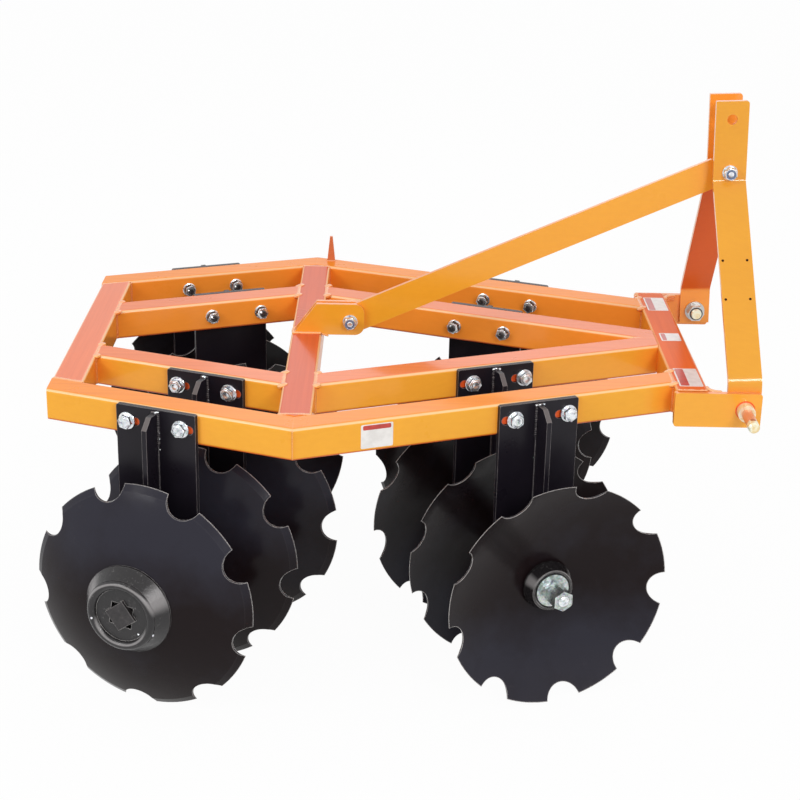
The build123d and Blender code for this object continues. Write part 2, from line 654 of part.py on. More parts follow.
# Mast legs: flat bars bolted inside the lugs, bent in to a parallel pair at the top link,
# and leaning back a little. The section is drawn looking forward along the leaning bar.
lean = radians(MAST_LEAN)
mast_section = Plane(
    (PIN_X, 0, PIN_HEIGHT), x_dir=(0, -1, 0), z_dir=(-cos(lean), 0, -sin(lean))
)
mast_side = Plane((PIN_X, 0, PIN_HEIGHT), x_dir=(cos(lean), 0, sin(lean)), z_dir=(0, -1, 0))
with BuildPart() as leg:
    with BuildSketch(mast_section):
        with BuildLine():
            inner_face = FilletPolyline(
                (LUG_INNER_Y - MAST_THICKNESS, -MAST_FOOT),
                (LUG_INNER_Y - MAST_THICKNESS, MAST_LOWER_BEND),
                (MAST_GAP / 2, MAST_UPPER_BEND),
                (MAST_GAP / 2, MAST_TOP),
                radius=MAST_BEND_RADIUS,
            )
            offset(inner_face, amount=MAST_THICKNESS, side=Side.RIGHT)
        make_face()
    extrude(amount=MAST_WIDTH / 2, both=True)
    across_bar = leg.edges().filter_by(Axis.Y)
    fillet(across_bar.group_by(Axis.Z)[-1], MAST_CORNER)
    with BuildSketch(mast_side):
        Circle(PIN_RADIUS + PIN_PLAY)
        with Locations((0, MAST_BRACE_HOLE)):
            Circle(BRACE_BOLT_RADIUS)
        with Locations((0, MAST_TOP_HOLE)):
            Circle(TOP_LINK_RADIUS)
    extrude(amount=LUG_OUTER_Y, mode=Mode.SUBTRACT)
save_pair(leg, "mast_leg")

# Brace: a flat bar on the centreline from the mast's bolt down to the bracket's
mast_bolt = mast_side.from_local_coords((0, MAST_BRACE_HOLE, 0))
bracket_bolt = Vector(MIDDLE_X + BRACKET_BOLT_AHEAD, 0, FRAME_TOP + BRACKET_BOLT_UP)
brace_span = mast_bolt - bracket_bolt
brace_plane = Plane(bracket_bolt, x_dir=brace_span, z_dir=(0, -1, 0))
with BuildPart() as brace:
    with BuildSketch(brace_plane):
        with Locations((brace_span.length / 2, 0)):
            SlotCenterToCenter(brace_span.length, BRACE_WIDTH)
        with Locations((0, 0), (brace_span.length, 0)):
            Circle(BRACE_BOLT_RADIUS, mode=Mode.SUBTRACT)
    extrude(amount=BRACE_THICKNESS / 2, both=True)
save(brace.part, "mast_brace")

# Spacers: a tube each side of the brace fills the gap between the mast's legs
with BuildPart() as spacers:
    for side_plane in (brace_plane.offset(BRACE_THICKNESS / 2), brace_plane.offset(-MAST_GAP / 2)):
        with BuildSketch(side_plane):
            with Locations((brace_span.length, 0)):
                Circle(SPACER_RADIUS)
                Circle(BRACE_BOLT_RADIUS, mode=Mode.SUBTRACT)
        extrude(amount=(MAST_GAP - BRACE_THICKNESS) / 2)
save(spacers.part, "mast_spacers")

# Bracket: two plates welded on the middle crossbar, with the brace's foot between them
with BuildPart() as bracket:
    for y_plate in (BRACE_THICKNESS / 2, -BRACE_THICKNESS / 2 - BRACKET_THICKNESS):
        with BuildSketch(Plane.XZ.offset(y_plate)) as plate:
            with BuildLine():
                Polyline(
                    (MIDDLE_X - TUBE / 2 + BRACKET_SETBACK, FRAME_TOP),
                    (MIDDLE_X + TUBE / 2, FRAME_TOP),
                    (MIDDLE_X + TUBE / 2, FRAME_TOP - BRACKET_DROP),
                    (MIDDLE_X + BRACKET_AHEAD, FRAME_TOP - BRACKET_DROP),
                    (MIDDLE_X + BRACKET_AHEAD, FRAME_TOP + BRACKET_TOP),
                    (MIDDLE_X + BRACKET_TOP_AHEAD, FRAME_TOP + BRACKET_TOP),
                    close=True,
                )
            make_face()
            fillet(plate.vertices().group_by(Axis.X)[-1], BRACKET_CORNER)
            with Locations((bracket_bolt.X, bracket_bolt.Z)):
                Circle(BRACE_BOLT_RADIUS, mode=Mode.SUBTRACT)
        extrude(amount=BRACKET_THICKNESS)
save(bracket.part, "brace_bracket")
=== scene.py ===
import json
import math
import random

import bmesh
import bpy
from mathutils import Matrix, Vector

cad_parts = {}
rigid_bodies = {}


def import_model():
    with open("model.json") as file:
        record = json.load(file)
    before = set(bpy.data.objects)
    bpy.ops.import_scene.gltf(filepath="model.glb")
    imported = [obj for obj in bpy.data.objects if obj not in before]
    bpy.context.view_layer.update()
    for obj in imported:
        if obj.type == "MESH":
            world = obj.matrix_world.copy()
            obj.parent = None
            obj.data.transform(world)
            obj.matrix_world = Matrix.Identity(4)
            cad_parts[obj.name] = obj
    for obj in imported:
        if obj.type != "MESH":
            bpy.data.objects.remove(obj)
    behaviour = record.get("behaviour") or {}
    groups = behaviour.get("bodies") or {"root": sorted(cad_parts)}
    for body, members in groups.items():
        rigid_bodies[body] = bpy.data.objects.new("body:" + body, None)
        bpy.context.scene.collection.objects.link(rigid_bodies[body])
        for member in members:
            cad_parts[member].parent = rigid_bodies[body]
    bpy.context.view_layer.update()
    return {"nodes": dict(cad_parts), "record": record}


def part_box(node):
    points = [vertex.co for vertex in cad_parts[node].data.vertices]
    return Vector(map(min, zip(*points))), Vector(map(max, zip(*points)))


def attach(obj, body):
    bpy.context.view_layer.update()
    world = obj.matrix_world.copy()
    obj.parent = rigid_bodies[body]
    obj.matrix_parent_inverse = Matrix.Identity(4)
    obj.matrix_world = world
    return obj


for leftover in list(bpy.data.objects):
    bpy.data.objects.remove(leftover)

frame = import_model()
nodes = frame["nodes"]
print("frame loaded:", len(nodes), "nodes")

# metres, +X forward, +Y to the left; the rails' faces are worked out from these
harrow = {
    "tube": 0.0635,
    "railSpacing": 0.205,
    "middleX": -0.1935,
    "middleHalfWidth": 0.549,
    "frontHalfWidth": 0.2713,
    "rearLength": 0.480,
    "frontLength": 0.735,
    "frameTop": 0.5836,
    "axleDrop": 0.355,
    "hangerThickness": 0.010,
    "lugOuterY": 0.320,
    "pinAhead": 0.135,
    "pinBelowMiddle": 0.005,
    "mastLean": 2.3,
}
rearX = harrow["middleX"] - harrow["rearLength"]
frontX = harrow["middleX"] + harrow["frontLength"]
frameTop = harrow["frameTop"]
tube = harrow["tube"]
tubeMiddle = frameTop - tube / 2
pinSpot = Vector((frontX + harrow["pinAhead"], 0, tubeMiddle - harrow["pinBelowMiddle"]))
railSlope = (harrow["middleHalfWidth"] - harrow["frontHalfWidth"]) / harrow["frontLength"]
railAngle = math.atan(railSlope)
railEnds = {  # distances along the outer rail to the middle of the bolts, the hanger and its slots
    "rear": {"bolts": 0.2350, "hanger": 0.2390, "slots": 0.2425},
    "front": {"bolts": 0.4966, "hanger": 0.4906, "slots": 0.4871},
}
sides = {"right": 1, "left": -1}
insets = (0, harrow["railSpacing"])
turnRound = Matrix.Rotation(math.pi, 4, "Y")


# a place on a rail's face: x runs forward along the rail, y up from the frame's top, z outward
def railPlace(end, along, inset=0.0, side=1):
    sense = -1 if end == "rear" else 1
    startX = rearX if end == "rear" else harrow["middleX"]
    startY = -harrow["middleHalfWidth"] + railSlope * abs(startX - harrow["middleX"])
    forward = Vector((math.cos(railAngle), sense * math.sin(railAngle), 0))
    outward = Vector((sense * math.sin(railAngle), -math.cos(railAngle), 0))
    origin = Vector((startX, startY, frameTop)) + forward * along - outward * inset
    return Matrix.Diagonal((1, side, 1, 1)) @ placeFrom(origin, forward, Vector((0, 0, 1)), outward)


def placeFrom(origin, xDir, yDir, zDir):
    place = Matrix.Identity(4)
    for row in range(3):
        place[row][0], place[row][1], place[row][2] = xDir[row], yDir[row], zDir[row]
        place[row][3] = origin[row]
    return place


# the middle of a gang's axle: z runs along it towards its nuts
def gangPlace(end, side):
    half = (harrow["hangerThickness"] - harrow["railSpacing"]) / 2
    middle = railPlace(end, railEnds[end]["hanger"], 0, side) @ moved(0, -harrow["axleDrop"], half)
    return middle if end == "front" else middle @ turnRound


# y of a right-hand rail's face, set in from the outer rail's outer face
def railY(x, inset):
    spread = railSlope * abs(x - harrow["middleX"])
    return -harrow["middleHalfWidth"] + spread + inset / math.cos(railAngle)


# looking at a face from the right-hand side: x forward, y up, z towards -Y
def rightFace(x, y, z):
    return placeFrom(Vector((x, y, z)), Vector((1, 0, 0)), Vector((0, 0, 1)), Vector((0, -1, 0)))


# a spot on the mast's middle line, up its lean from the lower pins
def mastSpot(height):
    lean = math.radians(harrow["mastLean"])
    return pinSpot + Vector((-math.sin(lean), 0, math.cos(lean))) * height


def moved(x=0.0, y=0.0, z=0.0):
    return Matrix.Translation((x, y, z))


def spun(degrees, axis="Z"):
    return Matrix.Rotation(math.radians(degrees), 4, axis)


# shader node with its sockets set or linked in one go
def put(tree, kind, sockets=None, **settings):
    node = tree.nodes.new("ShaderNode" + kind)
    for name, value in settings.items():
        setattr(node, name, value)
    for socket, value in (sockets or {}).items():
        if isinstance(value, bpy.types.NodeSocket):
            tree.links.new(value, node.inputs[socket])
        else:
            node.inputs[socket].default_value = value
    return node


def newEffect(name, takes, gives):
    effect = bpy.data.node_groups.new(name, "ShaderNodeTree")
    for socketName, value in takes.items():
        socket = effect.interface.new_socket(socketName, in_out="INPUT", socket_type="NodeSocketFloat")
        socket.default_value = value
    for socketName in gives:
        effect.interface.new_socket(socketName, in_out="OUTPUT", socket_type="NodeSocketFloat")
    taken, given = effect.nodes.new("NodeGroupInput").outputs, effect.nodes.new("NodeGroupOutput").inputs
    return effect, taken, given


def useEffect(tree, effect, **values):
    node = tree.nodes.new("ShaderNodeGroup")
    node.node_tree = effect
    for name, value in values.items():
        node.inputs[name].default_value = value
    return node.outputs


def maths(tree, operation, first, second=0.0, third=0.0, clamp=False):
    sockets = {0: first, 1: second, 2: third}
    return put(tree, "Math", sockets, operation=operation, use_clamp=clamp).outputs[0]


def times(tree, first, second, clamp=False):
    return maths(tree, "MULTIPLY", first, second, clamp=clamp)


def easeBetween(tree, value, low, high, toLow=0.0, toHigh=1.0):
    sockets = {"Value": value, "From Min": low, "From Max": high, "To Min": toLow, "To Max": toHigh}
    return put(tree, "MapRange", sockets, interpolation_type="SMOOTHSTEP").outputs[0]


def objectPlace(tree):
    return put(tree, "TexCoord").outputs["Object"]


# the parts of a vector, such as a place or a normal
def partsOf(tree, vector):
    return put(tree, "SeparateXYZ", {0: vector}).outputs


# 1 where a face looks straight up, -1 straight down
def facingUp(tree):
    return partsOf(tree, put(tree, "TexCoord").outputs["Normal"])["Z"]


def noise(tree, place, scale, detail, roughness=0.5, distortion=0.0):
    sockets = {"Vector": place, "Scale": scale, "Detail": detail}
    sockets.update({"Roughness": roughness, "Distortion": distortion})
    return put(tree, "TexNoise", sockets).outputs[0]


# the fine pebbling of a sprayed coat, and broad uneven shade
def makeCoatGrain():
    takes = {"grainSize": 0.0016, "unevenness": 1.0}
    effect, taken, given = newEffect("coatGrain", takes, ("height", "mottle"))
    place = objectPlace(effect)
    scale = maths(effect, "DIVIDE", 1.0, taken["grainSize"])
    pebbles = noise(effect, place, scale, 2.0)
    waves = noise(effect, place, 60.0, 1.0)
    effect.links.new(maths(effect, "ADD", pebbles, times(effect, waves, 1.5)), given["height"])
    broad = noise(effect, place, 7.0, 5.0, 0.6)
    offset = maths(effect, "SUBTRACT", broad, 0.5)
    mottle = times(effect, offset, taken["unevenness"])
    effect.links.new(maths(effect, "ADD", mottle, 0.5, clamp=True), given["mottle"])
    return effect


# a band along sharp edges, broken up so that it looks rubbed; it carries rubbed wear and, in most coats, a
# painted edge highlight
def makeEdgeBand():
    effect, taken, given = newEffect("edgeBand", {"width": 0.002, "strength": 4.0, "breakUp": 0.5}, ("mask",))
    rounded = put(effect, "Bevel", {"Radius": taken["width"]}, samples=6)
    flat = put(effect, "NewGeometry").outputs["Normal"]
    likeness = put(effect, "VectorMath", {0: rounded.outputs[0], 1: flat}, operation="DOT_PRODUCT")
    turn = maths(effect, "SUBTRACT", 1.0, likeness.outputs["Value"])
    patches = noise(effect, objectPlace(effect), 90.0, 3.0)
    kept = maths(effect, "SUBTRACT", 1.0, times(effect, patches, taken["breakUp"]))
    band = times(effect, times(effect, turn, taken["strength"]), kept, clamp=True)
    effect.links.new(band, given["mask"])
    return effect


# masks for painted light and shade: tops, shoulders, faces that look down, and the sides that face away from
# the machine's middle
def makePaintedLightSides():
    effect, taken, given = newEffect("paintedLightSides", {"softness": 0.15}, ("top", "outer", "shoulder", "under"))
    coordinates = put(effect, "TexCoord").outputs
    facing = partsOf(effect, coordinates["Normal"])
    place = partsOf(effect, coordinates["Object"])
    effect.links.new(easeBetween(effect, facing["Z"], 0.70, 0.98), given["top"])
    effect.links.new(easeBetween(effect, facing["Z"], -0.55, -0.15, 1.0, 0.0), given["under"])
    rising = easeBetween(effect, facing["Z"], 0.25, 0.50)
    falling = easeBetween(effect, facing["Z"], 0.80, 0.97, 1.0, 0.0)
    effect.links.new(times(effect, rising, falling), given["shoulder"])
    side = times(effect, place["Y"], 40.0)
    side = maths(effect, "MINIMUM", maths(effect, "MAXIMUM", side, -1.0), 1.0)
    outward = times(effect, side, facing["Y"])
    inner = times(effect, taken["softness"], -1.0)
    effect.links.new(easeBetween(effect, outward, inner, taken["softness"]), given["outer"])
    return effect


# deep corners and the feet of joints, found by occlusion, where painted shade goes
def makeNookShade():
    effect, taken, given = newEffect("nookShade", {"reach": 0.08, "strength": 1.6}, ("mask",))
    openness = put(effect, "AmbientOcclusion", {"Distance": taken["reach"]}, samples=6).outputs["AO"]
    closed = maths(effect, "SUBTRACT", 1.0, openness)
    effect.links.new(times(effect, closed, taken["strength"], clamp=True), given["mask"])
    return effect


# faint lines along a rolled tube, stretched out of fine noise
def makeRunLines():
    effect, taken, given = newEffect("runLines", {"turn": 0.0, "fineness": 160.0}, ("lines",))
    sockets = {"Vector": objectPlace(effect), "Angle": taken["turn"]}
    turned = put(effect, "VectorRotate", sockets, rotation_type="Z_AXIS").outputs[0]
    squeezed = put(effect, "VectorMath", {0: turned, 1: (0.025, 1.0, 1.0)}, operation="MULTIPLY").outputs[0]
    effect.links.new(noise(effect, squeezed, taken["fineness"], 3.0), given["lines"])
    return effect


# pale dust that settles low down and on faces that look up
def makeSettledDust():
    effect, taken, given = newEffect("settledDust", {"reach": 0.10, "onTop": 0.3}, ("mask",))
    place = objectPlace(effect)
    clouds = noise(effect, place, 22.0, 6.0)
    sockets = {"Value": partsOf(effect, place)["Z"], "From Max": taken["reach"], "To Min": 1.0, "To Max": 0.0}
    low = put(effect, "MapRange", sockets).outputs[0]
    upward = times(effect, maths(effect, "MAXIMUM", facingUp(effect), 0.0), taken["onTop"])
    effect.links.new(times(effect, maths(effect, "ADD", low, upward), clouds, clamp=True), given["mask"])
    return effect


coatGrain = makeCoatGrain()
edgeBand = makeEdgeBand()
paintedLightSides = makePaintedLightSides()
nookShade = makeNookShade()
runLines = makeRunLines()
settledDust = makeSettledDust()
print("effects:", len(bpy.data.node_groups))


def newMaterial(name, **shaderValues):
    material = bpy.data.materials.new(name)
    material.use_nodes = True
    tree = material.node_tree
    shader = tree.nodes["Principled BSDF"]
    for socket, value in shaderValues.items():
        shader.inputs[socket.replace("_", " ")].default_value = value
    return material, tree, shader


# a material with the coat's grain in it
def newCoat(name, grainSize, unevenness, **shaderValues):
    material, tree, shader = newMaterial(name, **shaderValues)
    return material, tree, shader, useEffect(tree, coatGrain, grainSize=grainSize, unevenness=unevenness)


def blend(tree, factor, first, second, how="MIX"):
    sockets = {0: factor, 6: first, 7: second}
    for index in (6, 7):
        if not isinstance(sockets[index], bpy.types.NodeSocket):
            sockets[index] = (*sockets[index], 1)
    return put(tree, "Mix", sockets, data_type="RGBA", blend_type=how).outputs[2]


def shades(tree, factor, stops):
    node = put(tree, "ValToRGB", {0: factor})
    while len(node.color_ramp.elements) < len(stops):
        node.color_ramp.elements.new(0.5)
    for element, (position, colour) in zip(node.color_ramp.elements, stops):
        element.position, element.color = position, (*colour, 1)
    return node.outputs[0]


def addBump(tree, shader, height, strength, distance):
    bump = put(tree, "Bump", {"Height": height, "Strength": strength, "Distance": distance})
    tree.links.new(bump.outputs[0], shader.inputs["Normal"])


# a surface's colour, its roughness between two values by a mask, and its bump
def giveSurface(tree, shader, colour, mask, smooth, rough, height, strength, distance):
    tree.links.new(colour, shader.inputs["Base Color"])
    roughness = put(tree, "MapRange", {"Value": mask, "To Min": smooth, "To Max": rough}).outputs[0]
    tree.links.new(roughness, shader.inputs["Roughness"])
    addBump(tree, shader, height, strength, distance)


paintedShoulderHighlight, paintedUnderShade, rubbedEdgeAndHighlight = (1.0, 0.68, 0.38), (0.74, 0.125, 0.016), (0.98, 0.52, 0.20)
# one orange coat with painted light and shade: a lit tone on the sides that face away from the machine's
# middle, a shaded tone on the others and a painted shade on tops; turn lines up its rolled lines with the
# tube
orangeCoats = {
    "outerRail": {"shadedTone": (1.00, 0.310, 0.036), "litTone": (0.88, 0.400, 0.036), "top": (0.96, 0.290, 0.024),
                  "turn": 0.0, "gloss": 0.22, "shoulder": 0.75, "specular": 0.14},
    "innerRail": {"shadedTone": (1.00, 0.325, 0.038), "litTone": (0.95, 0.420, 0.040), "top": (0.86, 0.200, 0.045),
                  "turn": 0.0, "gloss": 0.45, "shoulder": 0.85, "specular": 0.14},
    "crossbar": {"shadedTone": (0.97, 0.300, 0.036), "litTone": (0.90, 0.340, 0.045), "top": (0.72, 0.115, 0.034),
                 "turn": 1.571, "gloss": 0.20, "shoulder": 0.70, "specular": 0.14},
    "rearBar": {"shadedTone": (0.97, 0.300, 0.036), "litTone": (0.90, 0.340, 0.045), "top": (0.86, 0.185, 0.055),
                "turn": 1.571, "gloss": 0.50, "shoulder": 0.70, "specular": 0.14},
    "frontBar": {"shadedTone": (0.95, 0.280, 0.030), "litTone": (0.88, 0.320, 0.030), "top": (0.84, 0.150, 0.026),
                 "turn": 1.571, "gloss": 0.06, "shoulder": 0.45, "specular": 0.05},
    "plate": {"shadedTone": (0.95, 0.330, 0.040), "litTone": (0.88, 0.385, 0.026), "top": (0.88, 0.260, 0.040),
              "turn": 0.35, "gloss": 0.80, "shoulder": 0.0, "specular": 0.14},
    "mastLeg": {"shadedTone": (0.95, 0.330, 0.040), "litTone": (0.78, 0.335, 0.016), "top": (0.86, 0.230, 0.030),
                "turn": 0.35, "gloss": 0.80, "shoulder": 0.0, "specular": 0.14},
    "tab": {"shadedTone": (0.66, 0.190, 0.075), "litTone": (0.68, 0.230, 0.090), "top": (0.80, 0.200, 0.060),
            "turn": 0.0, "gloss": 0.60, "shoulder": 0.0, "specular": 0.14},
    # the welds' paler tones are a painted highlight on the beads
    "weld": {"shadedTone": (0.93, 0.260, 0.050), "litTone": (0.92, 0.440, 0.100), "top": (0.95, 0.430, 0.210),
             "turn": 0.0, "gloss": 1.0, "shoulder": 0.5, "specular": 0.14},
}


def makeOrangePowderCoat(variant):
    coat = orangeCoats[variant]
    material, tree, shader, grain = newCoat(
        variant + "OrangeCoat", 0.0018, 1.1, Specular_IOR_Level=coat["specular"], Coat_Roughness=0.12)
    lightMasks = useEffect(tree, paintedLightSides, softness=0.18)
    edge = useEffect(tree, edgeBand, width=0.003, strength=2.0, breakUp=0.7)
    corner = useEffect(tree, nookShade, reach=0.06, strength=1.6)
    rolled = useEffect(tree, runLines, turn=coat["turn"], fineness=150.0)
    # painted light and shade: the lit tone on sides that face away from the middle, the shaded tone on the
    # rest
    colour = blend(tree, lightMasks["outer"], coat["shadedTone"], coat["litTone"])
    # painted shade in deep corners: the shaded tone
    colour = blend(tree, times(tree, corner["mask"], 0.75), colour, coat["shadedTone"])
    # painted shade on tops: the top tone stands in for how light falls on them
    colour = blend(tree, lightMasks["top"], colour, coat["top"])
    # painted shade on faces that look down
    colour = blend(tree, lightMasks["under"], colour, paintedUnderShade)
    # painted highlight on the tubes' rounded shoulders
    colour = blend(tree, times(tree, lightMasks["shoulder"], coat["shoulder"]), colour, paintedShoulderHighlight)
    gloss = maths(tree, "MULTIPLY_ADD", lightMasks["under"], -coat["gloss"], coat["gloss"])
    tree.links.new(gloss, shader.inputs["Coat Weight"])
    patches = shades(tree, grain["mottle"], [(0.30, (0.975, 0.965, 0.96)), (0.72, (1.01, 1.015, 1.02))])
    colour = blend(tree, 1.0, colour, patches, "MULTIPLY")
    streaks = shades(tree, rolled["lines"], [(0.36, (0.96, 0.93, 0.92)), (0.64, (1.03, 1.05, 1.06))])
    colour = blend(tree, maths(tree, "MULTIPLY_ADD", lightMasks["top"], 0.75, 0.25), colour, streaks, "MULTIPLY")
    # rubbed wear along edges, with a painted highlight in it
    colour = blend(tree, times(tree, edge["mask"], 0.5), colour, rubbedEdgeAndHighlight)
    giveSurface(tree, shader, colour, grain["mottle"], 0.24, 0.34, grain["height"], 0.05, 0.0005)
    return material


# a deep orange: the paint rings round the pin collars, and painted shade in the slots
def makeDeepOrange():
    material, tree, shader, grain = newCoat("deepOrange", 0.0018, 1.4, Specular_IOR_Level=0.3)
    colour = blend(tree, grain["mottle"], (0.80, 0.085, 0.012), (0.92, 0.135, 0.022))
    giveSurface(tree, shader, colour, grain["mottle"], 0.35, 0.5, grain["height"], 0.08, 0.0005)
    return material


fieldDust = (0.20, 0.16, 0.13)
blackCoat = {
    "deep": (0.0070, 0.0050, 0.0085),
    "pale": (0.014, 0.0115, 0.017),
    "slope": (0.30, 0.26, 0.25),
    "edge": (0.46, 0.42, 0.42),
}


def makeBlackPowderCoat():
    material, tree, shader, grain = newCoat("blackPowderCoat", 0.0016, 1.3, Specular_IOR_Level=0.24)
    rubbed = useEffect(tree, edgeBand, width=0.0017, strength=3.2, breakUp=0.8)["mask"]
    dust = useEffect(tree, settledDust, reach=0.25, onTop=0.25)
    facing = facingUp(tree)
    colour = blend(tree, grain["mottle"], blackCoat["deep"], blackCoat["pale"])
    colour = blend(tree, times(tree, dust["mask"], 0.06), colour, fieldDust)
    # painted highlight on faces that slope up, such as the ribs' chamfers
    notFlat = easeBetween(tree, facing, 0.85, 0.97, 1.0, 0.1)
    paintedSlopeHighlight = times(tree, easeBetween(tree, facing, 0.35, 0.75, 0.0, 0.45), notFlat)
    colour = blend(tree, paintedSlopeHighlight, colour, blackCoat["slope"])
    # rubbed wear along edges, partly a painted highlight along the plates' edges
    rubbed = times(tree, rubbed, easeBetween(tree, facing, 0.85, 0.97, 1.0, 0.2))
    colour = blend(tree, rubbed, colour, blackCoat["edge"])
    giveSurface(tree, shader, colour, grain["mottle"], 0.22, 0.40, grain["height"], 0.15, 0.0007)
    return material


discCoat = {
    "shadedBrown": (0.0100, 0.0056, 0.0062),
    "sheenBlue": (0.0250, 0.0240, 0.0340),
    "scuff": (0.16, 0.14, 0.14),
    "edge": (0.72, 0.68, 0.66),
}


def makeBlackDiscPaint():
    material, tree, shader, grain = newCoat("blackDiscPaint", 0.0022, 1.6, Specular_IOR_Level=0.13)
    edge = useEffect(tree, edgeBand, width=0.0028, strength=4.0, breakUp=0.9)
    dust = useEffect(tree, settledDust, reach=0.10, onTop=0.15)
    scuffs = noise(tree, objectPlace(tree), 26.0, 9.0, 0.75, 0.8)
    uneven = maths(tree, "SUBTRACT", grain["mottle"], 0.5)
    # painted sheen and shade: a bluish painted reflection of the sky on faces that look up, a darker brown
    # painted shade on faces that look down, mixed with random uneven tone
    upper = maths(tree, "ADD", easeBetween(tree, facingUp(tree), -0.05, 0.34), uneven, clamp=True)
    colour = blend(tree, upper, discCoat["shadedBrown"], discCoat["sheenBlue"])
    rubbed = easeBetween(tree, scuffs, 0.60, 0.78)
    colour = blend(tree, times(tree, rubbed, 0.08), colour, discCoat["scuff"])
    colour = blend(tree, times(tree, dust["mask"], 0.05), colour, fieldDust)
    # bright rims: rubbed wear with a painted highlight along the ground edge
    colour = blend(tree, edge["mask"], colour, discCoat["edge"])
    spread = put(tree, "MapRange", {"Value": scuffs, "From Min": 0.25, "From Max": 0.75}).outputs[0]
    giveSurface(tree, shader, colour, spread, 0.10, 0.26, grain["height"], 0.06, 0.0006)
    return material


castCoat = {
    "deep": (0.005, 0.004, 0.005),
    "pale": (0.015, 0.0125, 0.0135),
    "fleck": (0.30, 0.285, 0.28),
    "crest": (0.30, 0.285, 0.285),
    "hollow": (0.0025, 0.0022, 0.0025),
    "edge": (0.56, 0.53, 0.52),
}


def makeBlackCasting():
    material, tree, shader, grain = newCoat(
        "blackCasting", 0.0030, 1.8, Specular_IOR_Level=0.42, Coat_Weight=0.25, Coat_Roughness=0.10)
    place = objectPlace(tree)
    edge = useEffect(tree, edgeBand, width=0.0030, strength=4.2, breakUp=0.95)
    sand = noise(tree, place, 420.0, 4.0, 0.7)
    pits = put(tree, "TexVoronoi", {"Vector": place, "Scale": 190.0}).outputs["Distance"]
    colour = blend(tree, grain["mottle"], castCoat["deep"], castCoat["pale"])
    flecks = easeBetween(tree, noise(tree, place, 95.0, 8.0, 0.85), 0.56, 0.70, 0.0, 0.50)
    colour = blend(tree, flecks, colour, castCoat["fleck"])
    facing = facingUp(tree)
    rising, falling = easeBetween(tree, facing, 0.10, 0.34), easeBetween(tree, facing, 0.46, 0.68, 0.75, 0.0)
    # painted highlight on the bell's crest, where faces look partly up
    crest = times(tree, rising, falling)
    colour = blend(tree, crest, colour, castCoat["crest"])
    # painted shade in the recesses and the socket
    hollow = useEffect(tree, nookShade, reach=0.016, strength=2.2)
    colour = blend(tree, hollow["mask"], colour, castCoat["hollow"])
    # bright edges: rubbed wear with a painted highlight
    colour = blend(tree, times(tree, edge["mask"], 0.95), colour, castCoat["edge"])
    height = maths(tree, "ADD", sand, times(tree, pits, 0.8))
    giveSurface(tree, shader, colour, sand, 0.14, 0.34, height, 0.35, 0.0012)
    return material


def makeZincPlate(name, tones):
    material, tree, shader, grain = newCoat(name, 0.0007, 1.8, Metallic=0.85)
    place = objectPlace(tree)
    spangle = put(tree, "TexVoronoi", {"Vector": place, "Scale": 380.0})
    plate = shades(tree, noise(tree, place, 110.0, 4.0, 0.65), list(zip((0.34, 0.46, 0.64), tones)))
    plate = blend(tree, 0.25, plate, spangle.outputs["Color"], "SOFT_LIGHT")
    giveSurface(tree, shader, plate, grain["mottle"], 0.34, 0.14, grain["height"], 0.12, 0.0004)
    return material


# y on a lower pin: the plain nut inside the lug, then the band of the shank with a painted reflection of the
# orange lug
pinBands = {"nut": (0.2985, 0.3000), "reflectionStart": (0.3405, 0.3425), "reflectionEnd": (0.390, 0.400)}


def makeYellowZinc(name, alongPin):
    material, tree, shader, grain = newCoat(name, 0.0009, 2.0, Metallic=0.55)
    place = objectPlace(tree)
    plate = shades(tree, noise(tree, place, 45.0, 3.0, distortion=1.2), [
        (0.34, (0.84, 0.66, 0.34)), (0.50, (0.94, 0.88, 0.66)), (0.66, (0.82, 0.86, 0.70))])
    if alongPin:
        # painted reflection of the orange lug on the shank past the collar
        away = maths(tree, "ABSOLUTE", partsOf(tree, place)["Y"])
        pastCollar = easeBetween(tree, away, *pinBands["reflectionStart"])
        shank = times(tree, pastCollar, easeBetween(tree, away, *pinBands["reflectionEnd"], 1.0, 0.0))
        plate = blend(tree, times(tree, shank, 0.8), plate, (0.82, 0.24, 0.09))
        inside = easeBetween(tree, away, *pinBands["nut"], 1.0, 0.0)
        plate = blend(tree, inside, plate, (0.60, 0.61, 0.60))
    giveSurface(tree, shader, plate, grain["mottle"], 0.22, 0.40, grain["height"], 0.10, 0.0004)
    return material


def makeAxleSteel():
    material, tree, shader = newMaterial("axleSteel", Specular_IOR_Level=0.5)
    edge = useEffect(tree, edgeBand, width=0.0020, strength=2.6, breakUp=0.8)
    millSkin = noise(tree, objectPlace(tree), 110.0, 8.0, 0.7)
    colour = shades(tree, millSkin, [
        (0.35, (0.012, 0.010, 0.011)), (0.60, (0.030, 0.026, 0.027)), (0.78, (0.16, 0.14, 0.14))])
    colour = blend(tree, edge["mask"], colour, (0.50, 0.47, 0.46))
    giveSurface(tree, shader, colour, millSkin, 0.50, 0.28, millSkin, 0.30, 0.0010)
    return material


def makeStickerFilm(name, pale, dark):
    material, tree, shader = newMaterial(name, Roughness=0.30, Coat_Weight=0.4, Coat_Roughness=0.12)
    ripple = noise(tree, objectPlace(tree), 70.0, 2.0)
    colour = shades(tree, ripple, [(0.30, dark), (0.62, pale)])
    tree.links.new(colour, shader.inputs["Base Color"])
    addBump(tree, shader, ripple, 0.10, 0.0006)
    return material


# the dark inside of a drilled hole, with a little orange left in it
def makeHoleShade():
    material, tree, shader, grain = newCoat("holeShade", 0.0008, 1.5, Roughness=0.9, Specular_IOR_Level=0.05)
    colour = blend(tree, grain["mottle"], (0.018, 0.010, 0.006), (0.06, 0.022, 0.008))
    tree.links.new(colour, shader.inputs["Base Color"])
    addBump(tree, shader, grain["height"], 0.2, 0.0004)
    return material


